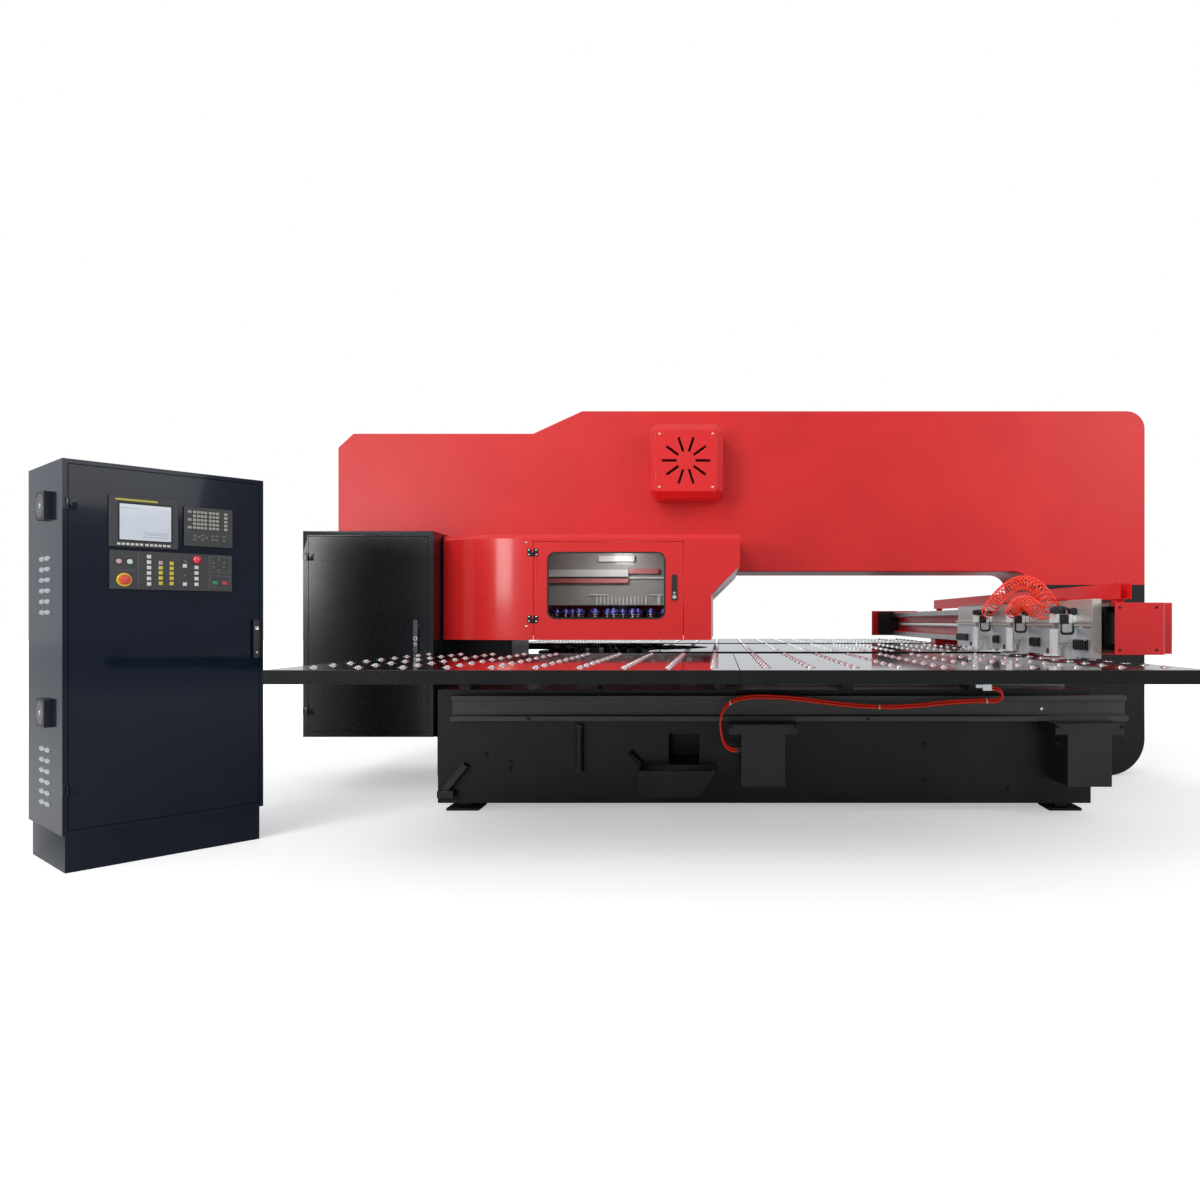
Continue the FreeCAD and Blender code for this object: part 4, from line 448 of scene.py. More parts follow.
class Shape:
    """A mesh under construction, made of blocks, bars, prisms and turned forms."""

    def __init__(self) -> None:
        """An empty shape."""
        self.mesh = bmesh.new()

    def block(self, low: Point, high: Point) -> "Shape":
        """Adds a block between two corners.

        Args:
            low: the corner with the lowest coordinates.
            high: the opposite corner.

        Returns:
            This shape.
        """
        corners = [Vector((x, y, z)) for z in (low[2], high[2])
                   for x, y in ((low[0], low[1]), (high[0], low[1]), (high[0], high[1]), (low[0], high[1]))]
        made = [self.mesh.verts.new(corner) for corner in corners]
        for ring in ((3, 2, 1, 0), (4, 5, 6, 7), (0, 1, 5, 4), (1, 2, 6, 5), (2, 3, 7, 6), (3, 0, 4, 7)):
            self.mesh.faces.new([made[index] for index in ring])
        return self

    def around(self, middle: Point, size: Point) -> "Shape":
        """Adds a block round a middle point.

        Args:
            middle: the point.
            size: its length along X, Y and Z.

        Returns:
            This shape.
        """
        low = tuple(m - s / 2 for m, s in zip(middle, size))
        high = tuple(m + s / 2 for m, s in zip(middle, size))
        return self.block(low, high)

    def turned(self, start: Point, along: Point, profile: Sequence[Tuple[float, float]],
               sides: int = 24) -> "Shape":
        """Adds a turned form.

        Args:
            start: the point on the axis where distances are counted from.
            along: the axis.
            profile: distance along the axis and radius, from one end to the other.
            sides: faces round the axis.

        Returns:
            This shape.
        """
        axis = Vector(along).normalized()
        side = axis.orthogonal().normalized()
        other = axis.cross(side)
        rings = []
        for distance, radius in profile:
            centre = Vector(start) + axis * distance
            rings.append([self.mesh.verts.new(centre + (side * math.cos(turn) + other * math.sin(turn)) * radius)
                          for turn in turns(sides)])
        return self.joined(rings)

    def joined(self, rings: Sequence[Sequence[bmesh.types.BMVert]]) -> "Shape":
        """Adds a closed skin over a chain of rings with as many corners.

        Args:
            rings: the rings in order.

        Returns:
            This shape.
        """
        for near, far in zip(rings, rings[1:]):
            self.band(near, far)
        self.mesh.faces.new(list(reversed(rings[0])))
        self.mesh.faces.new(rings[-1])
        return self

    def band(self, near: Sequence[bmesh.types.BMVert], far: Sequence[bmesh.types.BMVert]) -> None:
        """Joins two rings with four-sided faces.

        Args:
            near: the first ring.
            far: the second, with as many corners.
        """
        for index in range(len(near)):
            after = (index + 1) % len(near)
            self.mesh.faces.new([near[index], near[after], far[after], far[index]])

    def bar(self, start: Point, end: Point, radius: float, sides: int = 24) -> "Shape":
        """Adds a round bar between two points.

        Args:
            start: one end.
            end: the other end.
            radius: its radius.
            sides: faces round it.

        Returns:
            This shape.
        """
        length = (Vector(end) - Vector(start)).length
        along = tuple(Vector(end) - Vector(start))
        return self.turned(start, along, ((0.0, radius), (length, radius)), sides)

    def prism(self, ring: Sequence[Point], along: Point) -> "Shape":
        """Adds a straight solid from a closed flat outline.

        Args:
            ring: the outline's corners.
            along: the way from the outline to its copy at the far end.

        Returns:
            This shape.
        """
        return self.joined([[self.mesh.verts.new(Vector(corner) + shift) for corner in ring]
                            for shift in (Vector(), Vector(along))])

    def frame(self, outer: Sequence[Point], inner: Sequence[Point], along: Point) -> "Shape":
        """Adds a closed band between two outlines with as many corners, given some thickness.

        Args:
            outer: the outer outline.
            inner: the inner outline.
            along: the way from the near face to the far one.

        Returns:
            This shape.
        """
        rings = [[self.mesh.verts.new(Vector(corner) + shift) for corner in ring]
                 for shift in (Vector(), Vector(along)) for ring in (outer, inner)]
        near_out, near_in, far_out, far_in = rings
        for near, far in ((near_in, near_out), (near_out, far_out), (far_out, far_in), (far_in, near_in)):
            self.band(near, far)
        return self

    def moved(self, matrix: Matrix) -> "Shape":
        """Moves all that has been added so far."""
        bmesh.ops.transform(self.mesh, matrix=matrix, verts=self.mesh.verts)
        return self

    def made(self, name: str, surface: Finish, bevel: float = 0.0, segments: int = 2) -> bpy.types.Object:
        """The finished object at the origin.

        Args:
            name: the object's name.
            surface: its finish.
            bevel: width of the rounded edges, or 0.
            segments: steps across a rounded edge.

        Returns:
            The new object.
        """
        bmesh.ops.recalc_face_normals(self.mesh, faces=self.mesh.faces)
        data = bpy.data.meshes.new(name)
        self.mesh.to_mesh(data)
        self.mesh.free()
        return dressed(name, data, surface, bevel, segments)


def dressed(name: str, data: bpy.types.Mesh, surface: Finish, bevel: float, segments: int = 2) -> bpy.types.Object:
    """An object of a mesh with its finish, smooth round stretches and rounded edges.

    Args:
        name: the object's name.
        data: the mesh.
        surface: its finish.
        bevel: width of the rounded edges, or 0.
        segments: steps across a rounded edge.

    Returns:
        The new object.
    """
    data.materials.clear()
    data.materials.append(surface.material())
    data.shade_smooth()
    data.set_sharp_from_angle(angle=SMOOTH_ANGLE)
    item = linked(name, data)
    if bevel > 0:
        rounding = item.modifiers.new("rounded edges", "BEVEL")
        rounding.width = bevel
        rounding.segments = segments
        rounding.limit_method = "ANGLE"
        rounding.angle_limit = SMOOTH_ANGLE
        rounding.harden_normals = True
    return item


@dataclass
class Pattern:
    """Repeats a small template at many places with a node tree, and makes one plain mesh of them."""

    tree: bpy.types.NodeTree = field(init=False)

    def __post_init__(self) -> None:
        """Builds the node tree with its named inputs."""
        tree = bpy.data.node_groups.new("repeat at places", "GeometryNodeTree")
        for name, kind, way in (("Geometry", "NodeSocketGeometry", "INPUT"), ("Template", "NodeSocketObject", "INPUT"),
                                ("Size", "NodeSocketFloat", "INPUT"), ("Finish", "NodeSocketMaterial", "INPUT"),
                                ("Geometry", "NodeSocketGeometry", "OUTPUT")):
            tree.interface.new_socket(name=name, in_out=way, socket_type=kind)
        start = tree.nodes.new("NodeGroupInput")
        end = tree.nodes.new("NodeGroupOutput")
        template = tree.nodes.new("GeometryNodeObjectInfo")
        turn = tree.nodes.new("GeometryNodeInputNamedAttribute")
        turn.data_type = "FLOAT_VECTOR"
        turn.inputs["Name"].default_value = "turn"
        repeat = tree.nodes.new("GeometryNodeInstanceOnPoints")
        real = tree.nodes.new("GeometryNodeRealizeInstances")
        finish = tree.nodes.new("GeometryNodeSetMaterial")
        rotation = tree.nodes.new("FunctionNodeEulerToRotation")
        links = tree.links
        links.new(start.outputs["Geometry"], repeat.inputs["Points"])
        links.new(start.outputs["Template"], template.inputs["Object"])
        links.new(template.outputs["Geometry"], repeat.inputs["Instance"])
        links.new(turn.outputs["Attribute"], rotation.inputs["Euler"])
        links.new(rotation.outputs["Rotation"], repeat.inputs["Rotation"])
        links.new(start.outputs["Size"], repeat.inputs["Scale"])
        links.new(repeat.outputs["Instances"], real.inputs["Geometry"])
        links.new(real.outputs["Geometry"], finish.inputs["Geometry"])
        links.new(start.outputs["Finish"], finish.inputs["Material"])
        links.new(finish.outputs["Geometry"], end.inputs["Geometry"])
        self.tree = tree

    def stamp(self, name: str, template: Shape, places: Sequence[Place], surface: Finish,
              size: float = 1.0) -> bpy.types.Object:
        """Repeats a template.

        Args:
            name: the new piece's name.
            template: the small shape, round the origin.
            places: each copy's point and its turn as Euler angles.
            surface: the finish of all copies.
            size: a size for all of them.

        Returns:
            One object with a plain mesh.
        """
        small = template.made(name + " template", surface)
        data = bpy.data.meshes.new(name)
        data.from_pydata([place[0] for place in places], [], [])
        attribute = data.attributes.new("turn", "FLOAT_VECTOR", "POINT")
        attribute.data.foreach_set("vector", [angle for place in places for angle in place[1]])
        item = linked(name, data)
        modifier = item.modifiers.new("repeat", "NODES")
        modifier.node_group = self.tree
        sockets = {entry.name: entry.identifier for entry in self.tree.interface.items_tree
                   if entry.in_out == "INPUT"}
        modifier[sockets["Template"]] = small
        modifier[sockets["Size"]] = size
        modifier[sockets["Finish"]] = surface.material()
        bpy.context.view_layer.update()
        made = bpy.data.meshes.new_from_object(item.evaluated_get(bpy.context.evaluated_depsgraph_get()))
        item.modifiers.clear()
        item.data = made
        bpy.data.objects.remove(small)
        if "turn" in made.attributes:
            made.attributes.remove(made.attributes["turn"])
        made.materials.clear()
        made.materials.append(surface.material())
        made.shade_smooth()
        made.set_sharp_from_angle(angle=SMOOTH_ANGLE)
        return item


@dataclass
class Kit:
    """Places finished pieces on the machine's bodies and gives every CAD node its finish.

    Args:
        pattern: repeats small templates.
    """

    frame: Dict
    pattern: Pattern
    bodies: Dict[str, str] = field(init=False, default_factory=dict)

    def __post_init__(self) -> None:
        """Finds each node's body."""
        for body, members in self.frame["record"]["behaviour"]["bodies"].items():
            for member in members:
                self.bodies[member] = body

    def add(self, item: bpy.types.Object, body: str, slot: str,
            stands_for: Iterable[str] = ()) -> bpy.types.Object:
        """Lets a piece ride on a body.

        Args:
            item: the piece, in place.
            body: the body's name.
            slot: the material slot that its finish belongs to; not used.
            stands_for: the nodes that it replaces.

        Returns:
            The piece.
        """
        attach(item, body)
        if stands_for:
            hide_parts(*stands_for)
        log.info("%s rides on %s", item.name, body)
        return item

    def repeat(self, name: str, template: Shape, places: Sequence[Place], surface: Finish, body: str, slot: str,
               stands_for: Iterable[str] = ()) -> None:
        """Repeats a template at many places, and lets the one piece that this makes ride on a body."""
        self.add(self.pattern.stamp(name, template, places, surface), body, slot, stands_for)

    def refine_all(self, rows: Iterable[Tuple[str, Finish, float, int]]) -> None:
        """Refines nodes, each row with a name, a finish, an edge width and the steps across an edge."""
        for node, surface, bevel, segments in rows:
            self.refine(node, surface, bevel, segments)

    def refine(self, node: str, surface: Finish, bevel: float, segments: int = 2, angle: float = 1.0,
               sides: Optional[Surface] = None) -> bpy.types.Object:
        """Replaces a CAD node by its own form with merged faces and rounded edges.

        Args:
            node: the node's name.
            surface: its finish.
            bevel: width of the rounded edges.
            segments: steps across an edge.
            angle: faces that meet at less than this many degrees become one.
            sides: another finish for the faces that don't look up.

        Returns:
            The new piece.
        """
        copy = bmesh.new()
        copy.from_mesh(self.frame["nodes"][node].data)
        bmesh.ops.remove_doubles(copy, verts=copy.verts, dist=0.00002)
        bmesh.ops.dissolve_limit(copy, angle_limit=math.radians(angle), verts=copy.verts, edges=copy.edges)
        data = bpy.data.meshes.new(node + "_form")
        copy.to_mesh(data)
        copy.free()
        piece = dressed(node + "_form", data, surface, bevel, segments)
        if sides is not None:
            data.materials.append(sides.material())
            for face in data.polygons:
                face.material_index = 0 if face.normal.z > 0.7 else 1
        return self.add(piece, self.bodies[node], node, [node])

    def paint(self, node: str, surface: Finish) -> None:
        """Gives a CAD node its finish as it is.

        Args:
            node: the node's name.
            surface: its finish.
        """
        data = self.frame["nodes"][node].data
        data.materials.clear()
        data.materials.append(surface.material())


def dome_screw(radius: float) -> Shape:
    """A low domed screw head with a drilled recess, standing on the ground plane and pointing up."""
    return Shape().turned(ORIGIN, UP, ((0.0, radius), (radius * 0.22, radius * 0.96), (radius * 0.42, radius * 0.7),
                                       (radius * 0.5, radius * 0.34), (radius * 0.36, radius * 0.32)), 14)


def socket_screw(radius: float) -> Shape:
    """A cylinder-head screw with its socket, pointing up."""
    return Shape().turned(ORIGIN, UP, ((0.0, radius), (radius * 0.9, radius), (radius * 1.05, radius * 0.86),
                                       (radius * 1.05, radius * 0.5), (radius * 0.5, radius * 0.48)), 12)


def hexagon_bolt(radius: float) -> Shape:
    """A hexagon bolt head on its washer, pointing up."""
    washer = radius * 0.18
    return Shape().turned(ORIGIN, UP, ((0.0, radius * 1.35), (washer, radius * 1.35)), 18).turned(
        (0, 0, washer), UP, ((0.0, radius), (radius * 0.6, radius), (radius * 0.72, radius * 0.85)), 6)


# ---------------------------------------------------------------- camera, lamps and surroundings
@dataclass(frozen=True)
class Lamp:
    """A square soft lamp.

    Args:
        name: its name.
        place: where it hangs.
        size: its side.
        power: its power.
        aim: the point that it faces.
    """

    name: str
    place: Point
    size: float
    power: float
    aim: Point = (0.0, 0.0, 1.0)

    def hang(self) -> None:
        """Adds it to the scene."""
        data = bpy.data.lights.new(self.name, "AREA")
        data.shape = "SQUARE"
        data.size = self.size
        data.energy = self.power
        lamp = linked(self.name, data)
        lamp.visible_camera = False
        lamp.location = self.place
        lamp.rotation_euler = (Vector(self.aim) - Vector(self.place)).to_track_quat("-Z", "Y").to_euler()


@dataclass
class Studio:
    """The photograph's camera, plain soft lamps, and a white surrounding with a pale floor.

    Args:
        lamps: the big lamp over the front left, those at the right and behind, the one at the left whose soft
            mirror image lies on the paint, and the small one under the turret cover's top.
        ambient: strength of the surrounding light on the object.
        floor_size: half the floor's side.
        shade_reach: distance from the machine's middle up to which the floor shows its shadow.
        white_reach: distance from which the floor is white.
        near_lift: how much the camera's view of the floor is lifted near the machine.
    """

    lamps: Tuple[Lamp, ...] = (
        Lamp("key lamp", (-4.5, -8.0, 7.0), 5.0, 320.0), Lamp("fill lamp", (6.5, -7.0, 4.5), 4.0, 180.0),
        Lamp("back lamp", (0.0, 8.0, 7.0), 5.0, 180.0), Lamp("side lamp", (-5.6, -7.6, 2.3), 2.0, 150.0),
        Lamp("work lamp", (-0.80, -0.68, 1.435), 0.12, 1.7, (-0.80, -0.30, 1.15)))
    ambient: float = 0.62
    floor_size: float = 40.0
    shade_reach: float = 3.6
    white_reach: float = 7.0
    near_lift: float = 0.42

    def build(self) -> None:
        """Makes it all."""
        self._camera()
        self._surroundings()
        for lamp in self.lamps:
            lamp.hang()
        self._floor()
        bpy.context.scene.view_settings.view_transform = "Standard"

    def _camera(self) -> None:
        """A level camera whose shift gives the photograph's framing."""
        data = bpy.data.cameras.new("camera")
        data.sensor_width = SENSOR_WIDTH
        data.lens = FOCAL_PIXELS / IMAGE_SIZE * SENSOR_WIDTH
        data.shift_x = (IMAGE_SIZE / 2 - HORIZON_PIXEL[0]) / IMAGE_SIZE
        data.shift_y = (HORIZON_PIXEL[1] - IMAGE_SIZE / 2) / IMAGE_SIZE
        data.clip_end = 200.0
        camera = linked("camera", data)
        camera.location = CAMERA_PLACE
        camera.rotation_euler = FACING_FRONT
        bpy.context.scene.camera = camera

    def _surroundings(self) -> None:
        """White where the camera looks past the machine, and a soft grey light on the machine."""
        world = bpy.data.worlds.new("surroundings")
        world.use_nodes = True
        tree = world.node_tree
        tree.nodes.clear()
        path = tree.nodes.new("ShaderNodeLightPath")
        shown = new_node(tree, "ShaderNodeMath", {}, "MAXIMUM")
        tree.links.new(path.outputs["Is Camera Ray"], shown.inputs[0])
        tree.links.new(path.outputs["Is Transmission Ray"], shown.inputs[1])
        light = new_node(tree, "ShaderNodeBackground", {"Color": (0.93, 0.96, 1.0, 1.0), "Strength": self.ambient})
        white = new_node(tree, "ShaderNodeBackground", {"Color": WHITE, "Strength": 1.0})
        blend = tree.nodes.new("ShaderNodeMixShader")
        out = tree.nodes.new("ShaderNodeOutputWorld")
        tree.links.new(shown.outputs["Value"], blend.inputs["Fac"])
        tree.links.new(light.outputs["Background"], blend.inputs[1])
        tree.links.new(white.outputs["Background"], blend.inputs[2])
        tree.links.new(blend.outputs["Shader"], out.inputs["Surface"])
        bpy.context.scene.world = world

    def _floor(self) -> None:
        """A pale floor that keeps the machine's shadow and is white elsewhere."""
        half = self.floor_size
        data = bpy.data.meshes.new("floor")
        data.from_pydata([(-half, -half, 0), (half, -half, 0), (half, half, 0), (-half, half, 0)], [],
                         [(0, 1, 2, 3)])
        material, shader = new_material("pale floor", {
            "Base Color": (0.78, 0.78, 0.78, 1.0), "Roughness": 0.9, "Specular IOR Level": 0.1,
            "Emission Color": WHITE})
        tree = material.node_tree
        path = tree.nodes.new("ShaderNodeLightPath")
        distance = new_node(tree, "ShaderNodeVectorMath", {}, "LENGTH")
        tree.links.new(tree.nodes.new("ShaderNodeTexCoord").outputs["Object"], distance.inputs[0])
        rise = new_node(tree, "ShaderNodeMapRange", {"From Min": self.shade_reach, "From Max": self.white_reach,
                                                     "To Min": self.near_lift, "To Max": 1.0})
        tree.links.new(distance.outputs["Value"], rise.inputs["Value"])
        lift = new_node(tree, "ShaderNodeMath", {}, "MULTIPLY")
        tree.links.new(path.outputs["Is Camera Ray"], lift.inputs[0])
        tree.links.new(rise.outputs["Result"], lift.inputs[1])
        tree.links.new(lift.outputs["Value"], shader.inputs["Emission Strength"])
        data.materials.append(material)
        linked("floor", data)


# ---------------------------------------------------------------- hoses
def nurbs(name: str, points: Sequence[Point], radius: float = 0.0) -> bpy.types.Object:
    """A smooth curve through a route's control points.

    Args:
        name: the curve's name.
        points: its control points.
        radius: the tube's radius, or 0 for a bare line.

    Returns:
        The curve object.
    """
    data = bpy.data.curves.new(name, "CURVE")
    data.dimensions = "3D"
    data.resolution_u = 8
    data.bevel_depth = radius
    data.bevel_resolution = 3
    data.use_fill_caps = radius > 0
    spline = data.splines.new("NURBS")
    spline.points.add(len(points) - 1)
    for control, place in zip(spline.points, points):
        control.co = tuple(place) + (1.0,)
    spline.order_u = 3
    spline.use_endpoint_u = True
    return linked(name, data)


def line_points(route: Sequence[Point]) -> List[Vector]:
    """Points along the smooth line of a route.

    Args:
        route: the line's control points.

    Returns:
        The points in order.
    """
    line = nurbs("route", route)
    line.data.resolution_u = 24
    bpy.context.view_layer.update()
    mesh = bpy.data.meshes.new_from_object(line.evaluated_get(bpy.context.evaluated_depsgraph_get()))
    places = [vertex.co.copy() for vertex in mesh.vertices]
    bpy.data.meshes.remove(mesh)
    bpy.data.objects.remove(line)
    return places


def spaced(places: Sequence[Vector], count: int) -> List[Vector]:
    """So many points in equal steps along a chain of points.

    Args:
        places: the chain.
        count: how many points.

    Returns:
        The new points.
    """
    ways = [0.0]
    for near, far in zip(places, places[1:]):
        ways.append(ways[-1] + (far - near).length)
    result = []
    index = 0
    for step in range(count):
        target = ways[-1] * step / (count - 1)
        while index < len(places) - 2 and ways[index + 1] < target:
            index += 1
        share = (target - ways[index]) / max(ways[index + 1] - ways[index], 1e-9)
        result.append(places[index].lerp(places[index + 1], min(1.0, share)))
    return result


def chain_length(places: Sequence[Vector]) -> float:
    """Length of a chain of points."""
    return sum((far - near).length for near, far in zip(places, places[1:]))


@dataclass
class AirHoses:
    """The tied pair of red air hoses in front of the base.

    Args:
        kit: places the pieces.
        tie_places: X of each white tie.
        tie_width: length of a tie along the hoses.
    """

    kit: Kit
    tie_places: Tuple[float, ...] = (-0.086, 0.664, 1.205)
    tie_width: float = 0.008

    def build(self) -> None:
        """Makes both hoses and their ties."""
        for name, shift in (("air_hose_upper", ORIGIN), ("air_hose_lower", LOWER_HOSE_SHIFT)):
            points = [tuple(a + b for a, b in zip(place, shift)) for place in AIR_HOSE_ROUTE]
            hose = nurbs(name + "_cord", points, AIR_HOSE_RADIUS)
            hose.data.materials.append(HOSE_RED.material())
            length = chain_length(line_points(points))
            self.kit.add(hose, "machine", name, [name])
        self._ties()

    def _ties(self) -> None:
        """The white ties that hold the pair together."""
        line = line_points(AIR_HOSE_ROUTE)
        ties = Shape()
        for wanted in self.tie_places:
            near = [number for number in range(1, len(line) - 1) if 0.555 < line[number].z < 0.612]
            index = min(near, key=lambda number: abs(line[number].x - wanted))
            along = (line[index + 1] - line[index - 1]).normalized()
            middle = line[index] + Vector(LOWER_HOSE_SHIFT) / 2
            across = Vector(LOWER_HOSE_SHIFT).normalized()
            rise = along.cross(across).normalized()
            start = middle - along * self.tie_width / 2
            outer, inner = (ellipse(start, across * wide, rise * tall, 20)
                            for wide, tall in ((0.0152, 0.0078), (0.0137, 0.0064)))
            ties.frame(outer, inner, tuple(along * self.tie_width))
        self.kit.add(ties.made("hose_ties", TIE_WHITE), "machine", "air_hose_upper")


@dataclass
class CurlyHoses:
    """The coiled air hoses that join the clamps.

    Args:
        kit: places the pieces.
        curl_radius: radius of the curls at the hose's middle.
        hose_radius: radius of the hose.
        steps: points in each curl.
        lead: straight length at each end.
    """

    kit: Kit
    curl_radius: float = 0.035
    hose_radius: float = 0.004
    steps: int = 16
    lead: float = 0.012

    def build(self) -> None:
        """Makes both hoses."""
        self._hose("curly_hose_rear", REAR_CURL_ROUTE, 23, (1.400, -0.8393, 1.014), (1.408, -1.9767, 1.014))
        self._hose("curly_hose_middle", MIDDLE_CURL_ROUTE, 12, (1.366, -1.4513, 1.014), (1.366, -1.9767, 1.014))

    def _hose(self, node: str, route: Sequence[Point], curls: int, root: Point, end: Point) -> None:
        """One coiled hose from a fitting to another.

        Args:
            node: the node that it replaces.
            route: the line that its curls follow.
            curls: how many turns it takes.
            root: where it leaves the first fitting.
            end: where it enters the other.
        """
        centres = spaced(line_points(route), curls * self.steps + 1)
        points = [Vector(root), Vector(root) + Vector((0, -self.lead, 0))]
        last = len(centres) - 1
        for index, centre in enumerate(centres):
            along = (centres[min(index + 1, last)] - centres[max(index - 1, 0)]).normalized()
            side = along.cross(Vector(UP)).normalized()
            rise = side.cross(along)
            turn = -math.pi / 2 + 2 * math.pi * index / self.steps
            points.append(centre + side * (self.curl_radius * math.cos(turn))
                          + rise * (self.curl_radius * math.sin(turn)))
        points += [Vector(end) + Vector((0, self.lead, 0)), Vector(end)]
        hose = nurbs(node + "_cord", [tuple(place) for place in points], self.hose_radius)
        hose.data.resolution_u = 2
        hose.data.bevel_resolution = 2
        # The hose takes the red with the painted glow.
        hose.data.materials.append(GLOWING_COIL_RED.material())
        length = chain_length(line_points([tuple(place) for place in points]))
        self.kit.add(hose, "carriage", node, [node])


def rounded_ring(low: Tuple[float, float], high: Tuple[float, float], radius: float, y: float,
                 steps: int = 6) -> List[Point]:
    """The points of a rounded rectangle that stands at a depth.

    Args:
        low: its lowest X and Z.
        high: its highest X and Z.
        radius: radius of its corners.
        y: the depth.
        steps: steps in each corner.

    Returns:
        The points in order.
    """
    ring = []
    centres = ((high[0] - radius, high[1] - radius, 0.0), (low[0] + radius, high[1] - radius, 0.5),
               (low[0] + radius, low[1] + radius, 1.0), (high[0] - radius, low[1] + radius, 1.5))
    for x, z, start in centres:
        for step in range(steps + 1):
            turn = math.pi * (start + 0.5 * step / steps)
            ring.append((x + radius * math.cos(turn), y, z + radius * math.sin(turn)))
    return ring


# ---------------------------------------------------------------- main frame and ventilator
@dataclass
class FrameAndVentilator:
    """The big frame plate in two colours and the ventilator on its face.

    Args:
        kit: places the pieces.
        screw_reach: how far the ventilator's screws lie from its middle.
        face_cut: how much the corners of its face are cut.
    """

    kit: Kit
    screw_reach: float = 0.165
    face_cut: float = 0.009

    def build(self) -> None:
        """Dresses the frame and the ventilator."""
        self.kit.refine("main_frame", FRAME_PAINT, 0.007, 3)
        self._square_face(self.kit.refine("vent_box", RED_PAINT, 0.002, 2))
        self.kit.refine("vent_fan", BLACK_PLASTIC, 0.0008, 1)
        low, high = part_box("vent_box")
        middle = (low + high) / 2
        reach = self.screw_reach
        places = [((middle.x + a * reach, low.y + 0.0002, middle.z + b * reach), FACING_FRONT)
                  for a in (-1, 1) for b in (-1, 1)]
        self.kit.repeat("vent_screws", dome_screw(0.008), places, BRASS, "machine", "vent_box")
        guard = Shape()
        centre = Vector((middle.x, low.y + 0.012, middle.z))
        for radius in (0.06, 0.1, 0.14):
            outer, inner = (ellipse(centre, Vector((reach, 0, 0)), Vector((0, 0, reach)), 40)
                            for reach in (radius + 0.0015, radius - 0.0015))
            guard.frame(outer, inner, (0, 0.003, 0))
        self.kit.add(guard.made("vent_guard", DARK_STEEL), "machine", "vent_box")

    def _square_face(self, box: bpy.types.Object) -> None:
        """Draws the cut corners of the ventilator's face out to near square ones.

        Args:
            box: the refined ventilator box.
        """
        low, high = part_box("vent_box")
        middle = (low + high) / 2
        for vertex in box.data.vertices:
            across, up = vertex.co.x - middle.x, vertex.co.z - middle.z
            far, near = max(abs(across), abs(up)), min(abs(across), abs(up))
            if vertex.co.y < low.y + 0.006 and far > 0.17 and near > 0.12:
                square = far - self.face_cut
                if abs(across) < abs(up):
                    vertex.co.x = middle.x + math.copysign(square, across)
                else:
                    vertex.co.z = middle.z + math.copysign(square, up)


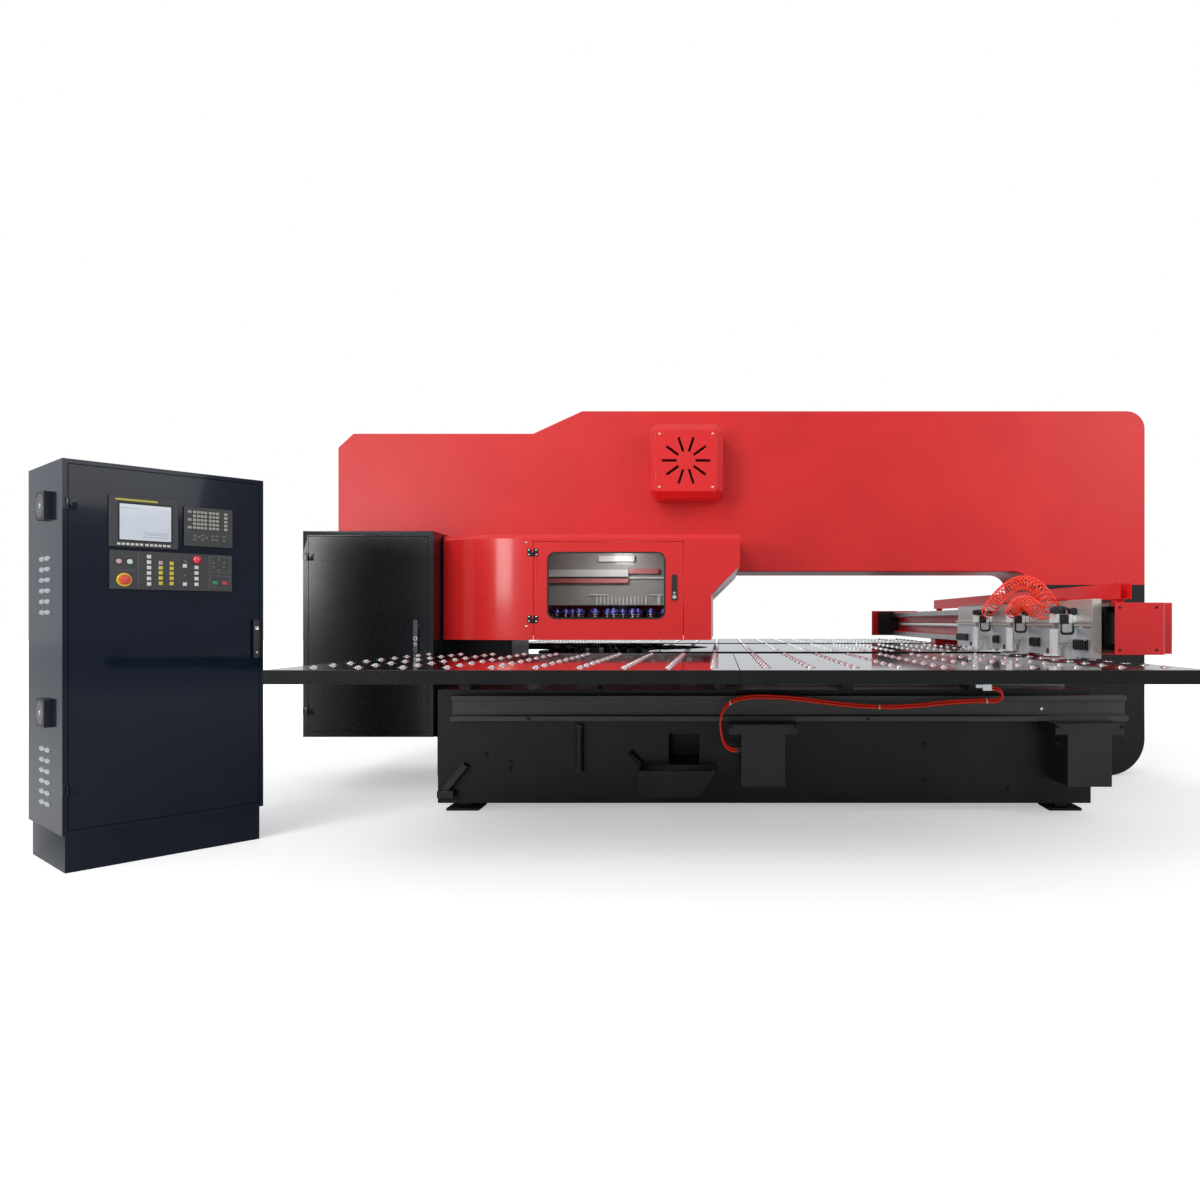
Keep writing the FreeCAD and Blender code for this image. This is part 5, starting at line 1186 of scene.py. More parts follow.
# ---------------------------------------------------------------- turret, its cover and door
@dataclass
class TurretHouse:
    """The turret with its tools, and the red cover with the windowed door.

    Args:
        kit: places the pieces.
        turret_x: X of the turret's axis.
        outer_ring: radius and count of the outer stations.
        inner_ring: radius and count of the inner stations.
        punch_top: height of the punch heads.
        window_radius: radius of the window's corners.
        gasket: width of the gasket on the door's face.
        hinge_heights: height of each hinge's middle.
    """

    kit: Kit
    turret_x: float = -0.800
    outer_ring: Tuple[float, int] = (0.458, 24)
    inner_ring: Tuple[float, int] = (0.375, 24)
    punch_top: float = 1.075
    window_radius: float = 0.045
    gasket: float = 0.009
    hinge_heights: Tuple[float, float] = (1.397, 1.008)

    def build(self) -> None:
        """Dresses the cover, the door and the turret."""
        self.kit.refine_all((("turret_cover", RED_PAINT, 0.0016, 2), ("turret_door", RED_PAINT, 0.0016, 2),
                             ("door_hinges", DARK_STEEL, 0.0006, 1)))
        self.kit.paint("door_window", Glass())
        self.kit.refine_all((("punch_cylinder", CAST, 0.003, 2), ("ram", BRIGHT, 0.002, 2),
                             ("turret_bearings", CAST, 0.003, 2), ("lower_turret", TURRET_STEEL, 0.003, 2),
                             ("upper_turret", TURRET_STEEL, 0.003, 2), ("dies", DARK_STEEL, 0.001, 1)))
        self._punches()
        self._guard()
        self._gasket()
        self._screws()
        self._latch()

    def _stations(self) -> List[Point]:
        """The middle of each station at the punch heads."""
        places = []
        for (radius, count), start in ((self.outer_ring, 0.0), (self.inner_ring, 0.5)):
            for index in range(count):
                turn = 2 * math.pi * (index + start) / count
                places.append((self.turret_x + radius * math.cos(turn), radius * math.sin(turn), self.punch_top))
        return places

    def _punches(self) -> None:
        """Turned punch assemblies with violet striker caps and springs under them."""
        places = [(place, FACING_UP) for place in self._stations()]
        stem = Shape().turned(ORIGIN, UP, ((-0.179, 0.0165), (-0.172, 0.0190), (-0.036, 0.0190),
                                           (-0.0345, 0.0150)), 16)
        self.kit.repeat("punch_stems", stem, places, BRIGHT, "upper_turret", "punches", ["punches"])
        coil = Shape()
        for level in range(5):
            coil.turned((0, 0, -0.098 + 0.0125 * level), UP,
                        ((0.0, 0.0192), (0.002, 0.0218), (0.005, 0.0218), (0.007, 0.0192)), 14)
        self.kit.repeat("punch_springs", coil, places, DARK_STEEL, "upper_turret", "punches")
        cap = Shape().turned(ORIGIN, UP, ((-0.034, 0.0240), (-0.031, 0.0266), (-0.014, 0.0268),
                                          (-0.011, 0.0250), (-0.0105, 0.0150), (-0.001, 0.0140),
                                          (0.0, 0.0125)), 20)
        self.kit.repeat("punch_caps", cap, places, VIOLET, "upper_turret", "punches")

    def _guard(self) -> None:
        """The grey guard behind the tools, fixed to the frame's face, with its rails and its comb."""
        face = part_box("main_frame")[0].y
        plate = Shape().block((-1.330, face - 0.003, 1.098), (-0.290, face, 1.470))
        self.kit.add(plate.made("tool_guard", GUARD_GREY, 0.0008), "machine", "main_frame")
        near = face - 0.0029
        pale = Shape()
        for x_low, x_high, z_low, z_high, out in (
                (-0.918, -0.686, 1.377, 1.415, 0.030), (-1.330, -0.725, 1.280, 1.326, 0.040),
                (-0.725, -0.290, 1.268, 1.280, 0.020), (-0.976, -0.854, 1.160, 1.168, 0.014),
                (-0.590, -0.490, 1.160, 1.168, 0.014), (-0.540, -0.520, 1.100, 1.160, 0.012)):
            pale.block((x_low, near - out, z_low), (x_high, near, z_high))
        comb = Shape()
        for index in range(14):
            x = -0.936 + 0.0245 * index
            comb.block((x, near - 0.010, 1.101), (x + 0.009, near, 1.156))
        self.kit.add(pale.made("guard_rails", GUARD_PALE, 0.0015), "machine", "main_frame")
        self.kit.add(comb.made("guard_comb", GUARD_PALE, 0.001), "machine", "main_frame")
        rose = Shape().block((-1.330, near - 0.034, 1.240), (-0.725, near, 1.268))
        rose.block((-0.7245, near - 0.030, 1.300), (-0.532, near, 1.332))
        self.kit.add(rose.made("guard_red_rails", GUARD_ROSE, 0.0015), "machine", "main_frame")

    def _gasket(self) -> None:
        """The black gasket round the window."""
        low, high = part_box("door_window")
        edge = 0.014
        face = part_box("turret_cover")[0].y
        x_low, x_high = low.x + edge, high.x - edge
        z_low, z_high = low.z + edge, high.z - edge
        wide = self.gasket
        outer, inner = (rounded_ring((x_low - grow, z_low - grow), (x_high + grow, z_high + grow),
                                     self.window_radius + grow, face - 0.0025)
                        for grow in (wide * 0.35, -wide * 0.65))
        self.kit.add(Shape().frame(outer, inner, (0, 0.0065, 0)).made("window_gasket", RUBBER, 0.0012), "turret_door",
                     "door_window")

    def _screws(self) -> None:
        """The hinges' four screws each, and the cover's own screws."""
        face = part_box("turret_cover")[0].y
        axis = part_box("turret_door")[0].x + 0.003
        leaves = Shape()
        for z in self.hinge_heights:
            leaves.block((axis + 0.0068, face - 0.0036, z - 0.0222), (axis + 0.0322, face - 0.0002, z + 0.0222))
        self.kit.add(leaves.made("hinge_leaves", DARK_STEEL, 0.0008), "turret_door", "door_hinges")
        fixed = [((axis - 0.0215, face - 0.0028, z + side), FACING_FRONT) for z in self.hinge_heights
                 for side in (-0.0135, 0.0135)]
        moving = [((axis + 0.0215, face - 0.0034, z + side), FACING_FRONT) for z in self.hinge_heights
                  for side in (-0.0135, 0.0135)]
        self.kit.repeat("hinge_screws_fixed", dome_screw(0.0052), fixed, BRIGHT, "machine", "door_hinges")
        self.kit.repeat("hinge_screws_moving", dome_screw(0.0052), moving, BRIGHT, "turret_door", "door_hinges")
        own = [((axis - 0.038, face - 0.0001, z), FACING_FRONT) for z in (1.455, 0.965)]
        self.kit.repeat("cover_screws", dome_screw(0.0065), own, BRIGHT, "machine", "turret_cover")

    def _latch(self) -> None:
        """The swing latch with its lever and lock."""
        low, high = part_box("door_latch")
        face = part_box("turret_cover")[0].y
        middle = (low.x + high.x) / 2
        outline = rounded_ring((low.x, low.z), (high.x, high.z), 0.010, face - 0.0112)
        lever = Shape().prism(outline, (0, 0.0074, 0))
        lever.bar((middle, face - 0.005, high.z - 0.020), (middle, face + 0.010, high.z - 0.020), 0.0058, 16)
        self.kit.add(lever.made("latch_lever", BLACK_PLASTIC, 0.0016, 3), "door_latch", "door_latch",
                     ["door_latch"])
        lock = Shape().turned((middle, face - 0.0108, low.z + 0.019), FORWARD,
                              ((0.0, 0.0125), (0.002, 0.0125), (0.003, 0.0115), (0.003, 0.008), (0.0016, 0.0075)), 24)
        lock.turned((middle, face - 0.0108, low.z + 0.042), FORWARD,
                    ((0.0, 0.008), (0.0015, 0.008), (0.0022, 0.007)), 20)
        self.kit.add(lock.made("latch_lock", BRIGHT), "door_latch", "door_latch")


# ---------------------------------------------------------------- cabinet on the frame
@dataclass
class FrameCabinet:
    """The black electrical cabinet beside the turret cover.

    Args:
        kit: places the pieces.
    """

    kit: Kit

    def build(self) -> None:
        """Dresses the cabinet, its door and its handle."""
        for node in ("electrical_cabinet", "electrical_door"):
            self.kit.refine(node, BLACK_PAINT, 0.002)
        self._handle()

    def _handle(self) -> None:
        """The swing handle with its bright lock."""
        low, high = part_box("electrical_handle")
        middle = (low.x + high.x) / 2
        top = high.z
        body = Shape().prism(rounded_ring((middle - 0.0125, low.z), (middle + 0.0125, top), 0.008, low.y),
                             (0, 0.0136, 0))
        self.kit.add(body.made("handle_lever", LEVER_GREY, 0.003, 3), "electrical_handle", "electrical_handle",
                     ["electrical_handle"])
        collar = Shape().turned((middle, low.y + 0.0142, top - 0.036), (0, 1, 0),
                                ((0.0, 0.0148), (0.003, 0.0148), (0.0095, 0.011)), 24)
        collar.turned((middle, low.y + 0.001, top - 0.036), FORWARD, ((0.0, 0.009), (0.0009, 0.009),
                                                                      (0.001, 0.006), (0.0004, 0.005)), 20)
        self.kit.add(collar.made("handle_collar", BRIGHT), "electrical_handle", "electrical_handle")
        # The lock rings take the near-white steel, whose colour is partly painted highlight.
        lock = Shape()
        for z, radius in ((0.896, 0.0122), (0.864, 0.0090)):
            lock.turned((middle, low.y + 0.001, z), FORWARD, ((0.0, radius), (0.0014, radius),
                                                              (0.0016, radius * 0.62), (0.0004, radius * 0.55)), 24)
        self.kit.add(lock.made("handle_lock", STEEL_WITH_PAINTED_HIGHLIGHT), "electrical_handle", "electrical_handle")


# ---------------------------------------------------------------- tables
@dataclass
class Tables:
    """The glossy black tables with their ball transfers.

    Args:
        kit: places the pieces.
        height: height of the table plates.
        pitch: distance between ball transfers.
        seam: X of the seam between the front plates.
        front_edge: Y of the front edge.
        first_row: distance of the first row from that edge.
        rows: rows on the front and rear tables.
        round_cut: radius that the centre table leaves free round the turret.
        turret_x: X of the turret's axis.
        centre_left: X of the centre table's left edge.
    """

    kit: Kit
    height: float = 0.820
    pitch: float = 0.170
    seam: float = -0.068
    front_edge: float = -2.781
    first_row: float = 0.184
    rows: int = 9
    round_cut: float = 0.630
    turret_x: float = -0.800
    centre_left: float = -0.534

    def build(self) -> None:
        """Dresses the plates and stands the balls on them."""
        for node in ("front_table_left", "front_table_right", "centre_table", "rear_table"):
            self.kit.refine(node, TABLE_BLACK, 0.002, 2, sides=TABLE_EDGE)
        self.kit.refine("table_supports", BASE_BLACK, 0.003, 2)
        self._balls()

    def _columns(self) -> List[float]:
        """X of each column of ball transfers."""
        left = [self.seam - 0.098 - self.pitch * index for index in range(10)]
        return left + [self.seam + 0.105 + self.pitch * index for index in range(10)]

    def _places(self) -> List[Place]:
        """Every ball transfer on the tables, as in the source."""
        first = self.front_edge + self.first_row
        columns = self._columns()
        spots = [(x, way * (first + self.pitch * index)) for way in (1, -1) for index in range(self.rows)
                 for x in columns]
        for x in columns:
            for index in range(-4, 5):
                y = index * self.pitch
                if x > self.centre_left and math.hypot(x - self.turret_x, y) > self.round_cut:
                    spots.append((x, y))
        return [((x, y, self.height + 0.0001), FACING_UP) for x, y in spots]

    def _balls(self) -> None:
        """Pressed rings and polished balls."""
        places = self._places()
        ring = Shape().turned(ORIGIN, UP, ((0.0, 0.0195), (0.0016, 0.0195), (0.0026, 0.0165),
                                           (0.0030, 0.0125), (0.0022, 0.0120)), 14)
        self.kit.repeat("ball_rings", ring, places, BRIGHT, "machine", "ball_transfers", ["ball_transfers"])
        profile = [(0.0, 0.0118)]
        for step in range(1, 6):
            turn = math.pi / 2 * step / 6
            profile.append((0.0079 * math.sin(turn), 0.0118 * math.cos(turn)))
        profile.append((0.0079, 0.0008))
        ball = Shape().turned(ORIGIN, UP, profile, 14)
        self.kit.repeat("transfer_balls", ball, places, CHROME, "machine", "ball_transfers")


# ---------------------------------------------------------------- base and what hangs on it
@dataclass
class Base:
    """The black bases with feet, channel, brackets, tray and conduit.

    Args:
        kit: places the pieces.
        front: Y of the front base's face.
        channel_face: Y of the channel's face.
        bracket_face: Y of the brackets' face.
    """

    kit: Kit
    front: float = -1.357
    channel_face: float = -1.447
    bracket_face: float = -1.577

    def build(self) -> None:
        """Dresses the bases and what hangs on them."""
        self.kit.refine_all((("machine_base", BASE_BLACK, 0.004, 2), ("levelling_feet", DARK_STEEL, 0.001, 1),
                             ("rail_channel", CHANNEL_GREY, 0.002, 2), ("box_brackets", BRACKET_GREY, 0.003, 2),
                             ("slug_tray", BASE_BLACK, 0.0015, 2)))
        self._conduit()
        self._bolts()
        self._brace()
        self._elbow()
        self._hose_ends()

    def _conduit(self) -> None:
        """The ribbed conduit with its end sockets."""
        low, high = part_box("cable_conduit")
        x, y = (low.x + high.x) / 2, (low.y + high.y) / 2
        profile = [(0.0, 0.021), (0.014, 0.021), (0.015, 0.0165)]
        pitch = 0.0075
        count = int((high.z - low.z - 0.030) / pitch)
        for index in range(count):
            start = 0.015 + index * pitch
            profile += [(start + 0.0015, 0.0165), (start + 0.0028, 0.0195), (start + 0.0052, 0.0195),
                        (start + 0.0065, 0.0165)]
        end = high.z - low.z
        profile += [(end - 0.015, 0.0165), (end - 0.014, 0.021), (end, 0.021)]
        self.kit.add(Shape().turned((x, y, low.z), UP, profile, 28).made("ribbed_conduit", BLACK_PLASTIC),
                     "machine", "cable_conduit", ["cable_conduit"])

    def _bolts(self) -> None:
        """Bolts on the base's face and on the brackets' flanges."""
        places = [((x, self.front, z), FACING_FRONT) for x, z in (
            (-0.108, 0.267), (-0.108, 0.178), (0.930, 0.350), (0.930, 0.168), (1.369, 0.121), (-1.235, 0.262),
            (-1.235, 0.225), (-1.36, 0.300))]
        self.kit.repeat("base_bolts", hexagon_bolt(0.011), places, DARK_STEEL, "machine", "machine_base")
        caps = [((x, self.bracket_face + 0.0001, z), FACING_FRONT) for x in (-0.085, 0.237, 1.539, 1.861)
                for z in (0.388, 0.472)]
        caps += [((x, self.channel_face + 0.0001, 0.497), FACING_FRONT) for x in (-1.12, 0.62)]
        self.kit.repeat("bracket_screws", socket_screw(0.008), caps, DARK_STEEL, "machine", "box_brackets")
        lone = [((1.504, self.channel_face + 0.0001, 0.549), FACING_FRONT)]
        self.kit.repeat("channel_screw", socket_screw(0.008), lone, BRIGHT, "machine", "rail_channel")

    def _brace(self) -> None:
        """The brace at the left."""
        brace = Shape()
        start, end = Vector((-1.569, self.front, 0.116)), Vector((-1.460, self.front, 0.251))
        along = (end - start).normalized()
        side = along.cross(Vector((0, 1, 0))).normalized() * 0.016
        ring = [start - side, end - side, end + side, start + side]
        brace.prism([tuple(corner + Vector((0, -0.034, 0))) for corner in ring], (0, 0.034, 0))
        brace.around((-1.560, self.front - 0.024, 0.100), (0.085, 0.048, 0.036))
        self.kit.add(brace.made("corner_brace", BRACKET_GREY, 0.002), "machine", "machine_base")

    def _elbow(self) -> None:
        """The drain elbow."""
        elbow = Shape()
        middle = Vector((-0.560, self.front - 0.028, 0.268))
        elbow.bar(tuple(middle + Vector((0.0, 0.028, 0))), tuple(middle), 0.011, 20)
        elbow.bar(tuple(middle + Vector((0.006, 0, -0.006))), tuple(middle + Vector((-0.040, 0, 0.040))), 0.013, 20)
        elbow.turned(tuple(middle + Vector((-0.040, 0, 0.040))), (-1, 0, 1), ((0.0, 0.018), (0.012, 0.018)), 6)
        elbow.turned(tuple(middle + Vector((0.006, 0, -0.006))), (1, 0, -1), ((0.0, 0.017), (0.012, 0.017)), 6)
        self.kit.add(elbow.made("drain_elbow", DARK_STEEL), "machine", "machine_base")

    def _hose_ends(self) -> None:
        """The fittings at both ends of the air hoses and the block that they enter."""
        fitting = Shape()
        end = Vector(AIR_HOSE_ROUTE[-1])
        for shift in (Vector(), Vector(LOWER_HOSE_SHIFT)):
            for tip, way in ((end + shift, 1), (Vector(AIR_HOSE_ROUTE[0]) + shift, -1)):
                fitting.turned(tuple(tip), (way, 0, 0), ((-0.0003, 0.0058), (0.0002, 0.0062), (0.012, 0.0062),
                                                         (0.0125, 0.0061)), 6)
        self.kit.add(fitting.made("hose_fittings", BRIGHT), "machine", "air_hose_upper")
        block = Shape().block((end.x - 0.0443, end.y - 0.0263, end.z - 0.0163),
                              (end.x + 0.0001, end.y + 0.0143, end.z + 0.0263))
        block.around((end.x - 0.060, end.y - 0.006, end.z + 0.006), (0.032, 0.018, 0.018))
        self.kit.add(block.made("hose_block", BRIGHT, 0.0015), "machine", "table_supports")


# ---------------------------------------------------------------- beam, screws and motor cover
@dataclass
class BeamAndDrives:
    """The cross beam with its rails and screw, the Y drive, the motor cover and the cable trough.

    Args:
        kit: places the pieces.
        lead: how far the screws' grooves advance in one turn.
        groove: depth of the grooves.
        plain_end: length of the screws' plain ends.
        plug_pitch: distance between the rails' screws.
    """

    kit: Kit
    lead: float = 0.04
    groove: float = 0.0022
    plain_end: float = 0.075
    plug_pitch: float = 0.105

    def build(self) -> None:
        """Dresses the drives."""
        self.kit.refine_all((("cross_beam", BEAM_RED, 0.002, 2), ("x_rails", RAIL_STEEL, 0.0015, 2),
                             ("y_rails", RAIL_STEEL, 0.0015, 2), ("x_screw_drive", DARK_STEEL, 0.002, 2),
                             ("y_screw_drive", DARK_STEEL, 0.002, 2), ("motor_cover", BEAM_RED, 0.0015, 2),
                             ("cable_trough", TROUGH_RED, 0.0008, 1)))
        self._screw("x_screw", (0, 1, 0), 0.016)
        self._screw("y_screw", (1, 0, 0), 0.020)
        self._rail_screws()
        self._cover_screws()

    def _screw(self, node: str, along: Point, radius: float) -> None:
        """A ball screw: a bar with a rounded groove wound round it, and plain ends.

        Args:
            node: the node that it replaces.
            along: its axis.
            radius: its radius.
        """
        low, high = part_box(node)
        axis = Vector(along)
        length = (high - low).dot(axis)
        start = (low + high) / 2 - axis * length / 2
        side = axis.orthogonal().normalized()
        other = axis.cross(side)
        wound = length - 2 * self.plain_end
        count = int(wound / self.lead * 8)
        stations = [(0.0, 0.0), (self.plain_end, 0.0)]
        stations += [(self.plain_end + wound * index / count, self.groove) for index in range(1, count)]
        stations += [(length - self.plain_end, 0.0), (length, 0.0)]
        shape = Shape()
        rings = []
        for distance, depth in stations:
            ring = []
            for turn in turns(16):
                wave = math.cos(turn - 2 * math.pi * distance / self.lead)
                reach = radius - depth * max(0.0, wave) ** 2
                ring.append(shape.mesh.verts.new(start + axis * distance + side * (reach * math.cos(turn))
                                                 + other * (reach * math.sin(turn))))
            rings.append(ring)
        self.kit.add(shape.joined(rings).made(node + "_form", BRIGHT), self.kit.bodies[node], node, [node])

    def _rail_screws(self) -> None:
        """Countersunk screw caps along the beam's rails and the Y rails."""
        low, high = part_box("x_rails")
        places = [((low.x + 0.0001, low.y + 0.06 + self.plug_pitch * index, level), FACING_LEFT)
                  for level in (low.z + 0.017, high.z - 0.017)
                  for index in range(int((high.y - low.y) / self.plug_pitch))]
        plug = Shape().turned(ORIGIN, UP, ((0.0, 0.0062), (0.0004, 0.0062), (0.0004, 0.0045), (0.0002, 0.0040)), 14)
        self.kit.repeat("x_rail_plugs", plug, places, DARK_STEEL, "cross_beam", "x_rails")
        low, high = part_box("y_rails")
        tops = [((low.x + 0.05 + self.plug_pitch * index, y, high.z - 0.0001), FACING_UP)
                for y in (low.y + 0.017, high.y - 0.017)
                for index in range(int((high.x - low.x) / self.plug_pitch))]
        flush = Shape().turned(ORIGIN, UP, ((0.0, 0.0062), (0.00022, 0.0062), (0.00022, 0.0045), (0.00012, 0.0040)),
                               14)
        self.kit.repeat("y_rail_plugs", flush, tops, DARK_STEEL, "machine", "y_rails")

    def _cover_screws(self) -> None:
        """The four screws of the motor cover's face."""
        low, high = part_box("motor_cover")
        places = [((x, low.y + 0.0002, z), FACING_FRONT) for x in (low.x + 0.020, high.x - 0.040)
                  for z in (low.z + 0.020, high.z - 0.020)]
        self.kit.repeat("motor_cover_screws", dome_screw(0.006), places, DARK_STEEL, "cross_beam", "motor_cover")


# ---------------------------------------------------------------- carriage and clamps
@dataclass
class CarriageAndClamps:
    """The machined carriage with its three sheet clamps.

    Args:
        kit: places the pieces.
        clamp_places: Y of each clamp.
        face: X of the carriage's face.
        block_places: middle and half length of each dark block along the carriage.
    """

    kit: Kit
    clamp_places: Tuple[float, ...] = (-2.020, -1.408, -0.796)
    face: float = 1.440
    block_places: Tuple[Tuple[float, float], ...] = ((-2.125, 0.072), (-1.560, 0.062), (-0.934, 0.045),
                                                     (-0.225, 0.120))

    def build(self) -> None:
        """Dresses the carriage and the clamps."""
        self.kit.refine_all((("carriage", CARRIAGE_STEEL, 0.0012, 2), ("carriage_cover", BEAM_RED, 0.002, 2),
                             ("clamp_bodies", MACHINED_UP, 0.0015, 2)))
        # The jaws take the near-white steel, whose colour is partly painted highlight.
        for name in JAWS:
            self.kit.refine(name, STEEL_WITH_PAINTED_HIGHLIGHT, 0.0015)
        self._cylinders()
        self._heads()
        self._fittings()
        self._pads()

    def _cylinders(self) -> None:
        """Black cylinder caps, round knobs with their arms, and collars with blue rings on the clamps' heads."""
        caps = Shape()
        rings = Shape()
        for y in self.clamp_places:
            caps.turned((1.385, y, 1.0285), UP, ((0.0, 0.0215), (0.026, 0.0215), (0.029, 0.0205),
                                                 (0.0345, 0.0205), (0.036, 0.019), (0.036, 0.010)), 28)
            caps.bar((1.426, y - 0.052, 1.040), (1.426, y - 0.012, 1.040), 0.0165, 24)
            caps.bar((1.426, y - 0.030, 1.045), (1.385, y - 0.016, 1.058), 0.0062, 12)
            caps.turned((1.344, y - 0.014, 1.047), FORWARD, ((0.0, 0.0150), (0.034, 0.0150), (0.036, 0.0135)), 24)
            caps.around((1.366, y - 0.016, 1.040), (0.020, 0.020, 0.022))
            rings.turned((1.344, y - 0.0300, 1.047), FORWARD, ((0.0, 0.0156), (0.0080, 0.0156)), 24)
            rings.turned((1.385, y, 1.0532), UP, ((0.0, 0.0219), (0.0028, 0.0219)), 28)
        self.kit.add(caps.made("clamp_cylinder_caps", BLACK_PLASTIC, 0.0008), "carriage", "clamp_bodies")
        self.kit.add(rings.made("clamp_collars", BLUE_PLASTIC), "carriage", "clamp_bodies")

    def _heads(self) -> None:
        """Bright twin blocks on each head, near-white partly as painted highlight, a black block between them as
        painted shade in their gap, the U-shaped stop under it, and the toe pins.
        """
        blocks = Shape()
        dark = Shape()
        for name, y in zip(JAWS, self.clamp_places):
            front = y - 0.043
            blocks.block((1.3505, front - 0.0015, 0.9895), (1.3640, y + 0.0445, 1.0290))
            blocks.block((1.4040, front - 0.0060, 0.9870), (1.4200, front + 0.001, 1.0270))
            blocks.block((1.4225, front - 0.0060, 0.9870), (1.4385, front + 0.001, 1.0270))
            # A black block fills the gap between the bright blocks: painted shade.
            dark.block((1.3645, front - 0.0045, 0.9850), (1.4030, front + 0.001, 1.0270))
            ring = rounded_ring((1.3665, 0.9370), (1.4280, 1.0040), 0.016, front - 0.0052)
            hole = rounded_ring((1.3730, 0.9470), (1.4195, 0.9950), 0.010, front - 0.0052)
            dark.frame(ring, hole, (0, 0.0062, 0))
            pin = Shape().turned((1.327, y, 0.8515), UP, ((0.0, 0.0050), (0.012, 0.0050), (0.013, 0.0072),
                                                          (0.019, 0.0072), (0.0205, 0.0045), (0.026, 0.0040)), 16)
            self.kit.add(pin.made(name + "_pin", BLACK_PLASTIC), name, name)
        self.kit.add(blocks.made("clamp_head_blocks", STEEL_WITH_PAINTED_HIGHLIGHT, 0.0012), "carriage", "clamp_bodies")
        self.kit.add(dark.made("clamp_stops", BLACK_PLASTIC, 0.001), "carriage", "clamp_bodies")

    def _fittings(self) -> None:
        """Push-in fittings of the air hoses, with blue rings, on the clamps' heads."""
        rings = Shape()
        bodies = Shape()
        sockets = ((1.400, -0.8393, 1), (1.408, -1.9767, -1), (1.366, -1.4513, 1), (1.366, -1.9767, -1))
        for x, y, way in sockets:
            bodies.turned((x, y + way * 0.0012, 1.014), (0, way, 0), ((-0.0062, 0.0046), (-0.006, 0.0075),
                                                                      (0.0, 0.0078), (0.0005, 0.0078)), 20)
            rings.turned((x, y - way * 0.0048, 1.014), (0, -way, 0), ((0.0, 0.0068), (0.0028, 0.0066),
                                                                      (0.0031, 0.0046)), 20)
        self.kit.add(bodies.made("push_fittings", BLACK_PLASTIC), "carriage", "curly_hose_rear")
        self.kit.add(rings.made("fitting_rings", BLUE_PLASTIC), "carriage", "curly_hose_rear")

    def _pads(self) -> None:
        """The ledge of the carriage, the dark ribbed blocks on it and their screws."""
        ledge = Shape().block((self.face - 0.004, -2.2265, 0.8375), (self.face + 0.001, -0.0905, 0.966))
        self.kit.add(ledge.made("carriage_ledge", LEDGE_STEEL, 0.0008), "carriage", "carriage")
        blocks = Shape()
        screws = []
        for middle, half in self.block_places:
            blocks.block((self.face - 0.013, middle - half, 0.871), (self.face - 0.003, middle + half, 0.917))
            ribs = int(2 * half / 0.022)
            for index in range(ribs):
                y = middle - half + (index + 0.5) * 2 * half / ribs
                blocks.block((self.face - 0.019, y - 0.006, 0.876), (self.face - 0.012, y + 0.006, 0.912))
            for z in (0.8735, 0.9145):
                screws += [((self.face - 0.0129, middle + side, z), FACING_LEFT)
                           for side in (0.008 - half, half - 0.008)]
        self.kit.add(blocks.made("carriage_blocks", DARK_STEEL, 0.001), "carriage", "carriage")
        self.kit.repeat("block_screws", socket_screw(0.0028), screws, BRIGHT, "carriage", "carriage")


# ---------------------------------------------------------------- control cabinet
@dataclass
class Unit:
    """The outline of one unit in the control door, in the cabinet's own axes.

    Args:
        left: its left edge.
        bottom: its bottom edge.
        width: its width.
        height: its height.
    """

    left: float
    bottom: float
    width: float
    height: float

    @property
    def right(self) -> float:
        """Its right edge."""
        return self.left + self.width

    @property
    def top(self) -> float:
        """Its top edge."""
        return self.bottom + self.height


